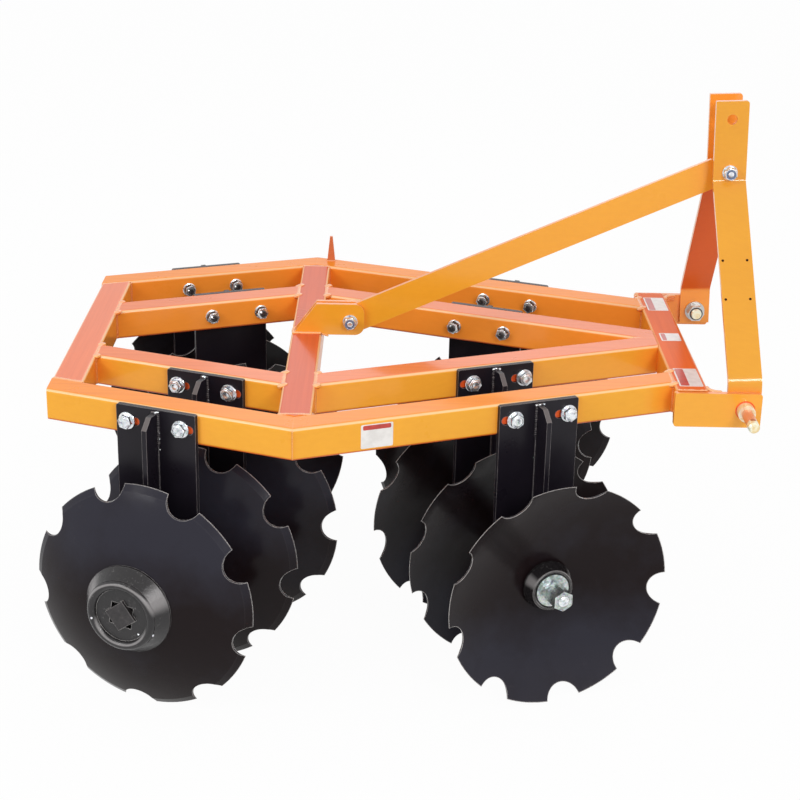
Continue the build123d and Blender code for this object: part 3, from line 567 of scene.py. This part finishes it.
def makeNylon():
    material, tree, shader, grain = newCoat("nylonRing", 0.0008, 1.5, Subsurface_Weight=0.15)
    colour = blend(tree, grain["mottle"], (0.09, 0.12, 0.23), (0.20, 0.24, 0.36))
    giveSurface(tree, shader, colour, grain["mottle"], 0.35, 0.55, grain["height"], 0.10, 0.0004)
    return material


orangePaint = {variant: makeOrangePowderCoat(variant) for variant in orangeCoats}
finishes = {
    "frame_paint": orangePaint["plate"],
    "hanger_paint": makeBlackPowderCoat(),
    "disc_paint": makeBlackDiscPaint(),
    "cast_paint": makeBlackCasting(),
    "zinc_plate": makeZincPlate("brightZinc", ((0.34, 0.35, 0.38), (0.70, 0.73, 0.76), (0.93, 0.95, 0.97))),
    "axle_steel": makeAxleSteel(),
    "yellow_zinc": makeYellowZinc("yellowZincPin", True),
}
yellowThread = makeYellowZinc("yellowZincThread", False)
dullZinc = makeZincPlate("dullZinc", ((0.26, 0.29, 0.28), (0.42, 0.46, 0.45), (0.66, 0.70, 0.69)))
weldPaint = [orangePaint["weld"]]
deepOrange = makeDeepOrange()
nylonRing = makeNylon()
holeShade = makeHoleShade()
stickerWhite = makeStickerFilm("stickerWhite", (0.82, 0.79, 0.76), (0.72, 0.69, 0.66))
stickerRed = makeStickerFilm("stickerRed", (0.55, 0.040, 0.025), (0.42, 0.028, 0.020))
coatOf = {
    "outer_rail": "outerRail", "inner_rail": "innerRail", "front_crossbar": "frontBar",
    "middle_crossbar": "crossbar", "rear_crossbar": "rearBar", "upright_tab": "tab", "mast_leg": "mastLeg",
}
for subpart in frame["record"]["subparts"]:
    carried = nodes[subpart["node"]]
    finish = finishes[subpart["material_slot"]]
    for start, variant in coatOf.items():
        if subpart["node"].startswith(start):
            finish = orangePaint[variant]
    if subpart["node"].startswith("axle_nut"):
        finish = dullZinc
    if not carried.material_slots:
        carried.data.materials.append(finish)
    for materialSlot in carried.material_slots:
        materialSlot.material = finish
print("materials:", len(bpy.data.materials))

# fitted to the photograph; pan in radians, tilt and roll in degrees
view = {
    "lens": 77.99,
    "sensor": 36,
    "at": (-0.0277, -3.4597, 1.7793),
    "pan": -0.0098,
    "tilt": 68.71,
    "roll": 1.24,
}
scene = bpy.context.scene
camera = bpy.data.objects.new("photoCamera", bpy.data.cameras.new("photoCamera"))
scene.collection.objects.link(camera)
camera.data.lens, camera.data.sensor_width = view["lens"], view["sensor"]
panned = moved(*view["at"]) @ Matrix.Rotation(view["pan"], 4, "Z")
camera.matrix_world = panned @ spun(view["tilt"], "X") @ spun(view["roll"])
scene.camera = camera

sharpFrom = 38  # degrees between two faces, past which the edge stays sharp


def finishPiece(name, bm, slot, body="frame", materials=None):
    bmesh.ops.recalc_face_normals(bm, faces=bm.faces)
    mesh = bpy.data.meshes.new(name)
    bm.to_mesh(mesh)
    bm.free()
    for material in materials or [finishes[slot]]:
        mesh.materials.append(material)
    mesh.shade_smooth()
    mesh.set_sharp_from_angle(angle=math.radians(sharpFrom))
    piece = bpy.data.objects.new(name, mesh)
    scene.collection.objects.link(piece)
    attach(piece, body)
    print(name, sum(len(face.vertices) - 2 for face in mesh.polygons), "triangles")


# a small shape made once, then stamped wherever it is needed
def asShape(name, bm):
    bmesh.ops.recalc_face_normals(bm, faces=bm.faces)
    shape = bpy.data.meshes.new(name)
    bm.to_mesh(shape)
    bm.free()
    return shape


def stamp(bm, shape, place):
    copied = shape.copy()
    copied.transform(place)
    bm.from_mesh(copied)
    bpy.data.meshes.remove(copied)


def forget(*shapes):
    for shape in shapes:
        bpy.data.meshes.remove(shape)


def paintFaces(bm, first, materialIndex):
    bm.faces.ensure_lookup_table()
    for face in bm.faces[first:]:
        face.material_index = materialIndex


# moves all that was made since before to its place
def settle(bm, before, place):
    made = [vert for vert in bm.verts if vert not in before]
    bmesh.ops.transform(bm, matrix=place, verts=made)
    return made


def roundEdges(bm, edges, offset, segments):
    bmesh.ops.bevel(bm, geom=edges, offset=offset, segments=segments, profile=0.5, affect="EDGES",
                    material=-1)


def uprightEdges(verts, height):
    edges = {edge for vert in verts for edge in vert.link_edges}
    return [edge for edge in edges if abs(edge.verts[0].co.z - edge.verts[1].co.z) > height * 0.5]


# a round form about z from (radius, z) corners
def addTurned(bm, place, profile, segments=32, materialIndex=0):
    first = len(bm.faces)
    before = set(bm.verts)
    verts = [bm.verts.new((radius, 0, z)) for radius, z in profile]
    edges = [bm.edges.new(pair) for pair in zip(verts, verts[1:])]
    bmesh.ops.spin(bm, geom=verts + edges, axis=(0, 0, 1), cent=(0, 0, 0),
                   steps=segments, angle=2 * math.pi, use_merge=True)
    bmesh.ops.remove_doubles(bm, verts=settle(bm, before, place), dist=0.00001)
    paintFaces(bm, first, materialIndex)


# a bar about z with its middle at the place
def addBar(bm, radius, depth, segments, place=Matrix.Identity(4)):
    made = bmesh.ops.create_cone(bm, cap_ends=True, segments=segments, radius1=radius, radius2=radius,
                                 depth=depth, matrix=place)
    return made["verts"]


# hexagon from z = 0 up, its free end rounded over
def addHex(bm, place, across, height, rounding):
    before = set(bm.verts)
    verts = addBar(bm, across / math.sqrt(3), height, 6)
    bmesh.ops.translate(bm, verts=verts, vec=(0, 0, height / 2))
    edges = {edge for vert in verts for edge in vert.link_edges}
    ends = [edge for edge in edges if all(vert.co.z > height * 0.99 for vert in edge.verts)]
    roundEdges(bm, ends, rounding, 3)
    made = [vert for vert in bm.verts if vert not in before]
    roundEdges(bm, uprightEdges(made, height), rounding * 0.3, 2)
    settle(bm, before, place)


def addWasher(bm, place, radius, thickness):
    lip = thickness * 0.25
    rim = [(radius, 0), (radius, thickness - lip), (radius - lip, thickness)]
    addTurned(bm, place, [(0, 0), *rim, (0, thickness)])


def addThreadEnd(bm, place, radius, length, pitch=0.002, materialIndex=0):
    profile = [(0, 0)]
    turns = max(1, int(length / pitch))
    for turn in range(turns):
        profile.append((radius, pitch * turn))
        profile.append((radius - 0.0008, pitch * (turn + 0.5)))
    end = pitch * turns
    profile += [(radius - 0.0003, end), (radius - 0.0018, end + 0.0015), (0, end + 0.0019)]
    addTurned(bm, place, profile, 24, materialIndex)


hangerBolt = {
    "spacing": 0.112,
    "washerRadius": 0.0172,
    "washerThickness": 0.003,
    "headAcross": 0.0250,
    "headHeight": 0.0105,
    "shankRadius": 0.008,
    "nutAcross": 0.0235,
    "nutHeight": 0.014,
    "nutFlange": 0.0150,
    "threadFrom": 0.0155,
    "shankLength": 0.072,
    "shankMiddle": -0.0265,
}


def makeBoltHead():
    bm = bmesh.new()
    thick, high = hangerBolt["washerThickness"], hangerBolt["headHeight"]
    addWasher(bm, moved(), hangerBolt["washerRadius"], thick)
    addHex(bm, moved(z=thick), hangerBolt["headAcross"], high, 0.0014)
    crown = [(0.0100, -0.0008), (0.0100, 0.0003), (0.0092, 0.0009), (0.0060, 0.0010), (0.0048, 0.0004)]
    addTurned(bm, moved(z=thick + high), [(0, -0.0008), *crown, (0, 0.0004)], 28)
    return asShape("boltHead", bm)


def makeBoltEnd():
    bm = bmesh.new()
    flange = hangerBolt["nutFlange"]
    addTurned(bm, moved(), [(0, 0), (flange, 0), (flange, 0.0014), (0.0120, 0.0030), (0, 0.0030)], 28)
    addHex(bm, moved(z=0.0025), hangerBolt["nutAcross"], hangerBolt["nutHeight"], 0.0014)
    addThreadEnd(bm, moved(z=hangerBolt["threadFrom"]), hangerBolt["shankRadius"], 0.004, materialIndex=1)
    return asShape("boltEnd", bm)


# places on the rails' faces: one for each hanger, or one for each bolt or slot where steps has two
def hangerPlaces(kind, steps=(0,)):
    for end, along in railEnds.items():
        for inset in insets:
            for step in steps:
                for side in sides.values():
                    yield railPlace(end, along[kind] + step * hangerBolt["spacing"], inset, side)


def makeHangerBolts():
    bolts = bmesh.new()
    head, far = makeBoltHead(), makeBoltEnd()
    for place in hangerPlaces("bolts", (-0.5, 0.5)):
        at = place @ moved(y=-tube / 2)
        turn = spun(random.uniform(0, 60))
        stamp(bolts, head, at @ moved(z=harrow["hangerThickness"]) @ turn)
        stamp(bolts, far, at @ moved(z=-tube) @ turnRound @ turn)
        middle = at @ moved(z=hangerBolt["shankMiddle"])
        addBar(bolts, hangerBolt["shankRadius"], hangerBolt["shankLength"], 16, middle)
    forget(head, far)
    threaded = [finishes["zinc_plate"], finishes["axle_steel"]]
    finishPiece("hangerBolts", bolts, "zinc_plate", materials=threaded)


random.seed(7)
makeHangerBolts()

paintedSlotShade = {"length": 0.0366, "radius": 0.0083, "depth": 0.0055}


# painted shade: a deep orange strip for the rail face in shade, seen in the free end of each slot
def makePaintedSlotShade():
    strip = bmesh.new()
    stretch = paintedSlotShade["length"] / 2 - paintedSlotShade["radius"]
    for vert in addBar(strip, paintedSlotShade["radius"], paintedSlotShade["depth"], 24):
        vert.co.x += math.copysign(stretch, vert.co.x)
    strip = asShape("slotStrip", strip)
    paint = bmesh.new()
    for place in hangerPlaces("slots", (-0.5, 0.5)):
        stamp(paint, strip, place @ moved(0, -tube / 2, paintedSlotShade["depth"] / 2 + 0.0002))
    forget(strip)
    finishPiece("paintedSlotShade", paint, "frame_paint", materials=[deepOrange])


makePaintedSlotShade()

bearingBolt = {
    "fromCentre": 0.044,
    "washerRadius": 0.0120,
    "washerThickness": 0.002,
    "headAcross": 0.017,
    "headHeight": 0.007,
    "nutAcross": 0.0185,
    "nutHeight": 0.010,
    "nutFace": -0.012,
    "threadRadius": 0.0055,
}


def makeBearingBolts():
    head, far = bmesh.new(), bmesh.new()
    thick, off = bearingBolt["washerThickness"], bearingBolt["fromCentre"]
    addWasher(head, moved(), bearingBolt["washerRadius"], thick)
    addHex(head, moved(z=thick), bearingBolt["headAcross"], bearingBolt["headHeight"], 0.001)
    addHex(far, moved(), bearingBolt["nutAcross"], bearingBolt["nutHeight"], 0.001)
    addThreadEnd(far, moved(z=0.0095), bearingBolt["threadRadius"], 0.004)
    head, far = asShape("bearingHead", head), asShape("bearingNut", far)
    bolts = bmesh.new()
    for place in hangerPlaces("hanger"):
        axle = place @ moved(y=-harrow["axleDrop"])
        for x, y in ((-off, -off), (-off, off), (off, -off), (off, off)):
            spot = axle @ moved(x, y)
            stamp(bolts, head, spot @ moved(z=harrow["hangerThickness"]) @ spun(random.uniform(0, 60)))
            behind = spot @ moved(z=bearingBolt["nutFace"]) @ turnRound
            stamp(bolts, far, behind @ spun(random.uniform(0, 60)))
    forget(head, far)
    finishPiece("bearingBolts", bolts, "zinc_plate")


makeBearingBolts()

ball = bmesh.new()
bmesh.ops.create_uvsphere(ball, u_segments=8, v_segments=5, radius=0.5)
puddle = asShape("puddle", ball)


def addPuddle(bm, spot, size, wide=1.0, tall=1.0):
    stamp(bm, puddle, moved(*spot) @ Matrix.Diagonal((size, size * wide, size * tall, 1)))


# a run of overlapping puddles from start to finish
def addBead(bm, start, finish, width, proud=0.6):
    run = Vector(finish) - Vector(start)
    count = max(2, round(run.length / (width * 0.5)))
    turn = run.to_track_quat("X", "Z").to_matrix().to_4x4()
    for step in range(count + 1):
        size = width * random.uniform(0.88, 1.12)
        centre = Vector(start) + run * (step / count)
        squash = Matrix.Diagonal((size * 0.95, size * random.uniform(0.9, 1.1), size * proud, 1))
        stamp(bm, puddle, moved(*centre) @ turn @ spun(random.uniform(-12, 12)) @ squash)


def addBothSides(bm, start, finish, width, proud=0.6):
    for side in sides.values():
        mirrored = Matrix.Diagonal((1, side, 1))
        addBead(bm, mirrored @ Vector(start), mirrored @ Vector(finish), width, proud)


frameWeld = {"width": 0.0095, "corner": 0.006, "blobWidth": 0.018, "sunk": 0.0014, "shortBy": 0.005}


def makeFrameWelds():
    welds = bmesh.new()
    high, low = frameTop - frameWeld["corner"], frameTop - tube + frameWeld["corner"]
    topZ, short = frameTop - frameWeld["sunk"], frameWeld["shortBy"]
    spacing, middle, width = harrow["railSpacing"], harrow["middleX"], frameWeld["width"]
    barRear, barFront = middle - tube / 2, middle + tube / 2
    for xLow, xHigh in ((rearX, rearX + tube), (barRear, barFront)):
        first, last = xLow + short, xHigh - short
        addBothSides(welds, (first, railY(first, tube), topZ), (last, railY(last, tube), topZ), width, 0.42)
        for x in (xLow, xHigh):
            if x != rearX:
                addBothSides(welds, (x, railY(x, tube), high), (x, railY(x, tube), low), width)
    for x, inset in ((rearX + tube, spacing), (barRear, spacing), (barFront, spacing), (frontX, 0.0)):
        outer, inner = railY(x, inset), railY(x, inset + tube)
        addBothSides(welds, (x, outer + short, topZ), (x, inner - short, topZ), width, 0.42)
        for y in (outer, inner):
            addBothSides(welds, (x, y, high), (x, y, low), width)
            start, finish = (x - 0.003, y, topZ - 0.003), (x + 0.003, y, topZ - 0.001)
            addBothSides(welds, start, finish, frameWeld["blobWidth"])
    # the outer rails' mitre at the middle corner
    narrow, face = width * 0.8, railY(middle, 0.0005)
    outer, inner = railY(middle, 0.006), railY(middle, tube - 0.008)
    addBothSides(welds, (middle, outer, topZ), (middle, inner, topZ), narrow, 0.35)
    addBothSides(welds, (middle, face, high), (middle, face, low), narrow, 0.4)
    # the inner rails' V behind the front crossbar
    meetX = middle + (harrow["middleHalfWidth"] - (spacing + tube) / math.cos(railAngle)) / railSlope
    addBead(welds, (meetX, 0, topZ), (frontX - 0.004, 0, topZ), narrow, 0.35)
    finishPiece("frameWelds", welds, "frame_paint", materials=weldPaint)


random.seed(11)
makeFrameWelds()

hitchWeld = {"width": 0.0085, "lugThickness": 0.012, "sweep": 0.022, "steps": 8}


# the lugs' beads down the crossbar's ends, with a swept fillet in each top corner
def makeHitchWelds():
    welds = bmesh.new()
    face = hitchWeld["lugThickness"] - harrow["lugOuterY"]
    width, ahead, sweep = hitchWeld["width"], frontX + tube, hitchWeld["sweep"]
    y, top = face + 0.001, frameTop - 0.0015
    for side in sides.values():
        flip = Matrix.Diagonal((1, side, 1))
        for x in (ahead + 0.001, frontX - 0.001):
            high, low = Vector((x, y, frameTop - 0.008)), Vector((x, y, frameTop - tube + 0.006))
            addBead(welds, flip @ high, flip @ low, width)
        back, front = Vector((frontX + 0.006, y, top)), Vector((ahead - 0.006, y, top))
        addBead(welds, flip @ back, flip @ front, width * 0.8, 0.5)
        for step in range(hitchWeld["steps"] + 1):
            turn = math.radians(step * 90 / hitchWeld["steps"])
            x, z = ahead + sweep - sweep * math.cos(turn), frameTop - 0.0050
            spot = Vector((x, face + 0.002 + sweep - sweep * math.sin(turn), z))
            for fall in range(3):
                centre = flip @ (spot - Vector((0, 0, fall * 0.0045)))
                addPuddle(welds, centre, 0.010 - fall * 0.001, tall=0.8)
    finishPiece("hitchWelds", welds, "frame_paint", materials=weldPaint)


makeHitchWelds()

bracketWeld = {"width": 0.008, "y": 0.0165, "behind": 0.005, "tabWidth": 0.006}


def makeBracketWelds():
    welds = bmesh.new()
    back, front = harrow["middleX"] - tube / 2, harrow["middleX"] + tube / 2
    width, z = bracketWeld["width"], frameTop + 0.001
    for y in (-bracketWeld["y"], bracketWeld["y"]):
        addBead(welds, (back + bracketWeld["behind"], y, z), (front - 0.004, y, z), width, 0.8)
        start, finish = (front + 0.002, y * 0.9, frameTop - 0.001), (front + 0.012, y * 0.9, frameTop - 0.004)
        addBead(welds, start, finish, width * 0.8)
    addBead(welds, (back + 0.004, -0.012, z), (back + 0.004, 0.012, z), width, 0.7)
    low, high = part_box("upright_tab")
    for edge in (low[1], high[1]):
        start, finish = (low[0] + 0.002, edge, frameTop), (high[0] - 0.002, edge, frameTop)
        addBead(welds, start, finish, bracketWeld["tabWidth"], 0.7)
    finishPiece("bracketWelds", welds, "frame_paint", materials=weldPaint)


makeBracketWelds()

# heights from the frame's top, and how far each bead runs from the rib's middle
hangerWeld = {
    "width": 0.0075,
    "beside": 0.0060,
    "thick": (-0.010, -0.068),
    "thin": (-0.068, -0.278),
    "ribTop": -0.0072,
    "lump": 0.0080,
    "glintsBeside": 0.0085,
}


# beads down both sides of each rib, with painted glints: bright lumps at its top and specks along it
def makeHangerWelds():
    welds, bright = bmesh.new(), bmesh.new()
    foot = harrow["hangerThickness"] + 0.001
    width, beside, ribTop = hangerWeld["width"], hangerWeld["beside"], hangerWeld["ribTop"]
    off = hangerWeld["glintsBeside"]
    for at in hangerPlaces("hanger"):
        for edge in (-beside, beside):
            for key, x, size, proud in (("thick", edge, width, 0.9), ("thin", edge * 0.9, width * 0.6, 0.8)):
                top, bottom = hangerWeld[key]
                addBead(welds, at @ Vector((x, top, foot)), at @ Vector((x, bottom, foot)), size, proud)
        addBead(welds, at @ Vector((-0.005, ribTop, foot)), at @ Vector((0.005, ribTop, foot)), 0.009, 0.9)
        # painted glints: bright zinc lumps at the rib's top, and specks beside it
        for _ in range(4):
            x, y = random.uniform(-0.010, 0.010), -0.004 - random.uniform(0, 0.006)
            spot = at @ Vector((x, y, foot + random.uniform(0.001, 0.004)))
            addPuddle(bright, spot, hangerWeld["lump"] * random.uniform(0.45, 0.85), 0.8, 0.8)
        for _ in range(5):
            spot = at @ Vector((random.choice((-off, off)), -random.uniform(0.03, 0.12), foot + 0.001))
            addPuddle(bright, spot, random.uniform(0.0022, 0.0042))
    finishPiece("hangerWelds", welds, "hanger_paint")
    finishPiece("weldGlints", bright, "zinc_plate")


makeHangerWelds()

# half is from the machine's middle to the bolt's washers; turn sets the flats
crossBolt = {
    "washerRadius": 0.0155,
    "washerThickness": 0.003,
    "nutAcross": 0.0250,
    "nutHeight": 0.016,
    "threadRadius": 0.0066,
    "shankRadius": 0.0095,
    "upper": {"upLeg": 0.405, "half": 0.042, "turn": 12},
    "lower": {"ahead": 0.0915, "rise": 0.027, "half": 0.0150, "turn": 40},
}


def makeLockNut():
    bm = bmesh.new()
    thick, high, thread = crossBolt["washerThickness"], crossBolt["nutHeight"], crossBolt["threadRadius"]
    addWasher(bm, moved(), crossBolt["washerRadius"], thick)
    addHex(bm, moved(z=thick), crossBolt["nutAcross"], high - 0.004, 0.0014)
    addTurned(bm, moved(z=thick + high - 0.0045), [
        (0.0100, 0), (0.0122, 0), (0.0122, 0.0022), (0.0116, 0.0034), (0.0108, 0.0036), (0.0104, 0.0028),
        (0.0100, 0.0028), (0.0100, 0)], 32)
    addTurned(bm, moved(z=thick + high - 0.0055), [
        (thread, 0), (0.0104, 0), (0.0104, 0.0034), (thread, 0.0040), (thread, 0)], 32, 1)
    addThreadEnd(bm, moved(z=thick + high - 0.007), thread - 0.0004, 0.007)
    return asShape("lockNut", bm)


def makeCrossHead():
    bm = bmesh.new()
    addWasher(bm, moved(), crossBolt["washerRadius"], crossBolt["washerThickness"])
    addHex(bm, moved(z=crossBolt["washerThickness"]), crossBolt["nutAcross"], 0.012, 0.0015)
    return asShape("crossHead", bm)


# the brace's two bolts: through the mast's legs at the top, and through the bracket at the foot
def makeCrossBolts():
    bolts = bmesh.new()
    lockNut, head = makeLockNut(), makeCrossHead()
    upper, lower = crossBolt["upper"], crossBolt["lower"]
    atFoot = Vector((harrow["middleX"] + lower["ahead"], 0, frameTop + lower["rise"]))
    for spot, bolt in ((mastSpot(upper["upLeg"]), upper), (atFoot, lower)):
        half, turn = bolt["half"], spun(bolt["turn"])
        stamp(bolts, lockNut, rightFace(spot.x, -half, spot.z) @ turn)
        stamp(bolts, head, rightFace(spot.x, half, spot.z) @ turnRound @ turn)
        addBar(bolts, crossBolt["shankRadius"], 2 * half + 0.004, 20, rightFace(spot.x, 0, spot.z))
    forget(lockNut, head)
    finishPiece("crossBolts", bolts, "zinc_plate", materials=[finishes["zinc_plate"], nylonRing])


makeCrossBolts()

pinTrim = {
    "boreRadius": 0.016,
    "ringRadius": 0.0187,
    "ringThickness": 0.0012,
    "nutEnd": 0.046,
    "proud": 0.005,
    "threadRadius": 0.0119,
}


# paint swept up round each collar, and the thread that shows in the nut inside the leg
def makePinTrim():
    rings, threads = bmesh.new(), bmesh.new()
    bore, wide, thick = pinTrim["boreRadius"], pinTrim["ringRadius"], pinTrim["ringThickness"]
    radius = pinTrim["threadRadius"]
    root = radius - 0.0008
    for side in sides.values():
        at = Matrix.Diagonal((1, side, 1, 1)) @ rightFace(pinSpot.x, -harrow["lugOuterY"], pinSpot.z)
        slope = [(wide + 0.0008, 0), (wide, thick), (bore, thick * 1.6)]
        addTurned(rings, at, [(bore, 0), *slope, (bore, 0)], 40)
        inside = at @ moved(z=-pinTrim["nutEnd"]) @ turnRound
        addThreadEnd(threads, inside @ moved(z=-0.001), radius, pinTrim["proud"] + 0.001, 0.0018)
        addTurned(threads, inside @ moved(z=-0.0005), [
            (root, 0), (0.0150, 0), (0.0148, 0.0010), (0.0134, 0.0014), (root, 0.0008), (root, 0)], 36, 1)
    finishPiece("pinPaint", rings, "frame_paint", materials=[deepOrange])
    finishPiece("pinThreads", threads, "yellow_zinc", materials=[yellowThread, finishes["axle_steel"]])


makePinTrim()

# run is the direction up the leg's slope, and bend is where it starts, from the pins' middle
plateHole = {
    "radius": 0.0026,
    "across": (-0.0260, 0.0224),
    "up": (0.1675, 0.2500),
    "run": (0, 0.6241, 0.7813),
    "bend": (0, -0.298, 0.052),
    "legThickness": 0.010,
    "proud": 0.0003,
}


# four small screw holes on the near leg's slope
def makePlateHoles():
    holes = bmesh.new()
    run = Vector(plateHole["run"])
    out = Vector((0, -run.z, run.y))
    lean = spun(-harrow["mastLean"], "Y")
    start = Vector(plateHole["bend"]) + out * (plateHole["legThickness"] + plateHole["proud"])
    size = plateHole["radius"]
    for across in plateHole["across"]:
        for up in plateHole["up"]:
            spot = start + run * up + Vector((across, 0, 0))
            at = moved(*pinSpot) @ lean @ placeFrom(spot, Vector((1, 0, 0)), run, out)
            rim = [(size, -0.002), (size, 0.0001), (size * 0.8, 0.0002)]
            addTurned(holes, at, [(0, -0.002), *rim, (0, 0.0002)], 20)
    finishPiece("plateHoles", holes, "frame_paint", materials=[holeShade])


makePlateHoles()

# on the front crossbar's top: x and y spans, and the width of the band along the rear edge
blankStickers = {
    "far": ((0.5525, 0.5975), (0.181, 0.272), 0.014),
    "middle": ((0.5535, 0.5955), (-0.021, 0.027), 0.009),
    "near": ((0.5505, 0.5975), (-0.290, -0.190), 0.017),
}
railSticker = {"along": (0.1325, 0.196), "drop": (0.0085, 0.056), "bandDrop": (0.0105, 0.0195)}


# a thin film with round corners; layer 1 is the band on it, a hair higher, in the second material
def addFilm(bm, place, width, height, layer=0):
    first = len(bm.faces)
    before = set(bm.verts)
    place, thickness = place @ moved(z=0.0002 + layer * 0.0001), 0.0005 + layer * 0.0001
    made = bmesh.ops.create_cube(bm, size=1.0, matrix=Matrix.Diagonal((width, height, thickness, 1)))
    roundEdges(bm, uprightEdges(made["verts"], thickness), 0.0025, 3)
    settle(bm, before, place)
    paintFaces(bm, first, layer)


def makeStickers():
    films = bmesh.new()
    for (xLow, xHigh), (yLow, yHigh), band in blankStickers.values():
        middleY = (yLow + yHigh) / 2
        addFilm(films, moved((xLow + xHigh) / 2, middleY, frameTop), xHigh - xLow, yHigh - yLow)
        addFilm(films, moved(xLow + 0.003 + band / 2, middleY, frameTop), band, yHigh - yLow - 0.006, 1)
    low, high = railSticker["along"]
    at = railPlace("front", (low + high) / 2)
    for layer, (top, bottom) in enumerate((railSticker["drop"], railSticker["bandDrop"])):
        addFilm(films, at @ moved(y=-(top + bottom) / 2), high - low - layer * 0.008, bottom - top, layer)
    finishPiece("blankStickers", films, "frame_paint", materials=[stickerWhite, stickerRed])


makeStickers()

# distances along the axle from the gang's middle; each pin's radius, degrees round and rise
bellTrim = {
    "top": 0.2715,
    "pinRadius": 0.0026,
    "pins": ((0.0480, -44, -0.0090), (0.0705, -24, -0.0085), (0.0600, 193, 0.0)),
}
hubTrim = {"lip": 0.2065, "lipRadius": 0.042, "recess": 0.037, "nutEnd": 0.2555, "endRadius": 0.0115}


# on each gang: bright pins on the bell, a rolled lip round the hub, and the axle's domed end
def makeGangTrim(end, sideName):
    place = gangPlace(end, sides[sideName])
    gang = end + "_" + sideName
    bright = bmesh.new()
    size = bellTrim["pinRadius"]
    for radius, degrees, rise in bellTrim["pins"]:
        turn = math.radians(degrees)
        spot = moved(radius * math.cos(turn), radius * math.sin(turn), bellTrim["top"] + rise)
        rim = [(size, -0.002), (size, 0.0002), (size * 0.75, 0.0011), (size * 0.35, 0.0016)]
        addTurned(bright, place @ turnRound @ spot, [(0, -0.002), *rim, (0, 0.0017)], 16)
    nutEnd, small = hubTrim["nutEnd"], hubTrim["endRadius"]
    dome = [(small, 0.0036), (small * 0.86, 0.0056), (small * 0.55, 0.0070), (small * 0.25, 0.0076)]
    addTurned(bright, place @ moved(z=nutEnd - 0.003), [(0, 0), (small, 0), *dome, (0, 0.0078)], 28)
    finishPiece("gangBright_" + gang, bright, "zinc_plate", "gang_" + gang)
    rim = bmesh.new()
    lip, recess, outer = hubTrim["lip"], hubTrim["recess"], hubTrim["lipRadius"]
    low, high = lip - 0.001, lip + 0.0014
    addTurned(rim, place, [
        (recess, low), (outer - 0.0004, low), (outer - 0.0006, lip + 0.0006), (outer - 0.0016, high),
        (recess + 0.0012, high), (recess, lip + 0.0004), (recess, low)], 48)
    finishPiece("hubRim_" + gang, rim, "cast_paint", "gang_" + gang)


for end in railEnds:
    for sideName in sides:
        makeGangTrim(end, sideName)
forget(puddle)

studio = {
    "ambient": 0.76,
    "softboxes": {
        "key": {"at": (1.50, -3.40, 2.30), "aim": (0.15, 0.0, 0.5), "size": (1.00, 0.75), "power": 39},
        "fill": {"at": (-2.8, -2.4, 2.6), "aim": (0.0, 0.0, 0.4), "size": (1.3, 1.3), "power": 36},
        "back": {"at": (0.4, 3.4, 3.0), "aim": (0.0, 0.0, 0.4), "size": (2.6, 2.6), "power": 16},
    },
    "floorSize": 40.0,
    "floorColour": (0.80, 0.80, 0.80, 1),
    "floorGlow": 0.965,
}


def lightStudio():
    for name, box in studio["softboxes"].items():
        lamp = bpy.data.lights.new(name, "AREA")
        lamp.shape, lamp.energy = "RECTANGLE", box["power"]
        lamp.size, lamp.size_y = box["size"]
        softbox = bpy.data.objects.new(name, lamp)
        scene.collection.objects.link(softbox)
        aim = Vector(box["aim"]) - Vector(box["at"])
        softbox.matrix_world = moved(*box["at"]) @ aim.to_track_quat("-Z", "Y").to_matrix().to_4x4()
    world = bpy.data.worlds.new("whiteStudio")
    scene.world = world
    world.use_nodes = True
    tree = world.node_tree
    level = put(tree, "MapRange", {"Value": seenDirectly(tree), "To Min": studio["ambient"]})
    background = tree.nodes["Background"]
    background.inputs["Color"].default_value = (1, 1, 1, 1)
    tree.links.new(level.outputs[0], background.inputs["Strength"])


# 1 for the rays that see the backdrop itself, in the camera, a gloss or a glass
def seenDirectly(tree):
    rays = put(tree, "LightPath").outputs
    seen = maths(tree, "ADD", rays["Is Camera Ray"], rays["Is Glossy Ray"])
    return maths(tree, "ADD", seen, rays["Is Transmission Ray"], clamp=True)


def layFloor():
    bm = bmesh.new()
    bmesh.ops.create_grid(bm, x_segments=1, y_segments=1, size=studio["floorSize"] / 2)
    mesh = bpy.data.meshes.new("studioFloor")
    bm.to_mesh(mesh)
    bm.free()
    floor = bpy.data.objects.new("studioFloor", mesh)
    scene.collection.objects.link(floor)
    material, tree, shader = newMaterial("paleFloor", Roughness=1.0, Specular_IOR_Level=0.0)
    shader.inputs["Base Color"].default_value = studio["floorColour"]
    glow = put(tree, "Emission", {"Color": (1, 1, 1, 1), "Strength": 1.0})
    share = times(tree, seenDirectly(tree), studio["floorGlow"])
    mixed = put(tree, "MixShader", {0: share, 1: shader.outputs[0], 2: glow.outputs[0]})
    tree.links.new(mixed.outputs[0], tree.nodes["Material Output"].inputs["Surface"])
    mesh.materials.append(material)


lightStudio()
layFloor()
scene.view_settings.view_transform = "Standard"
print("studio ready")
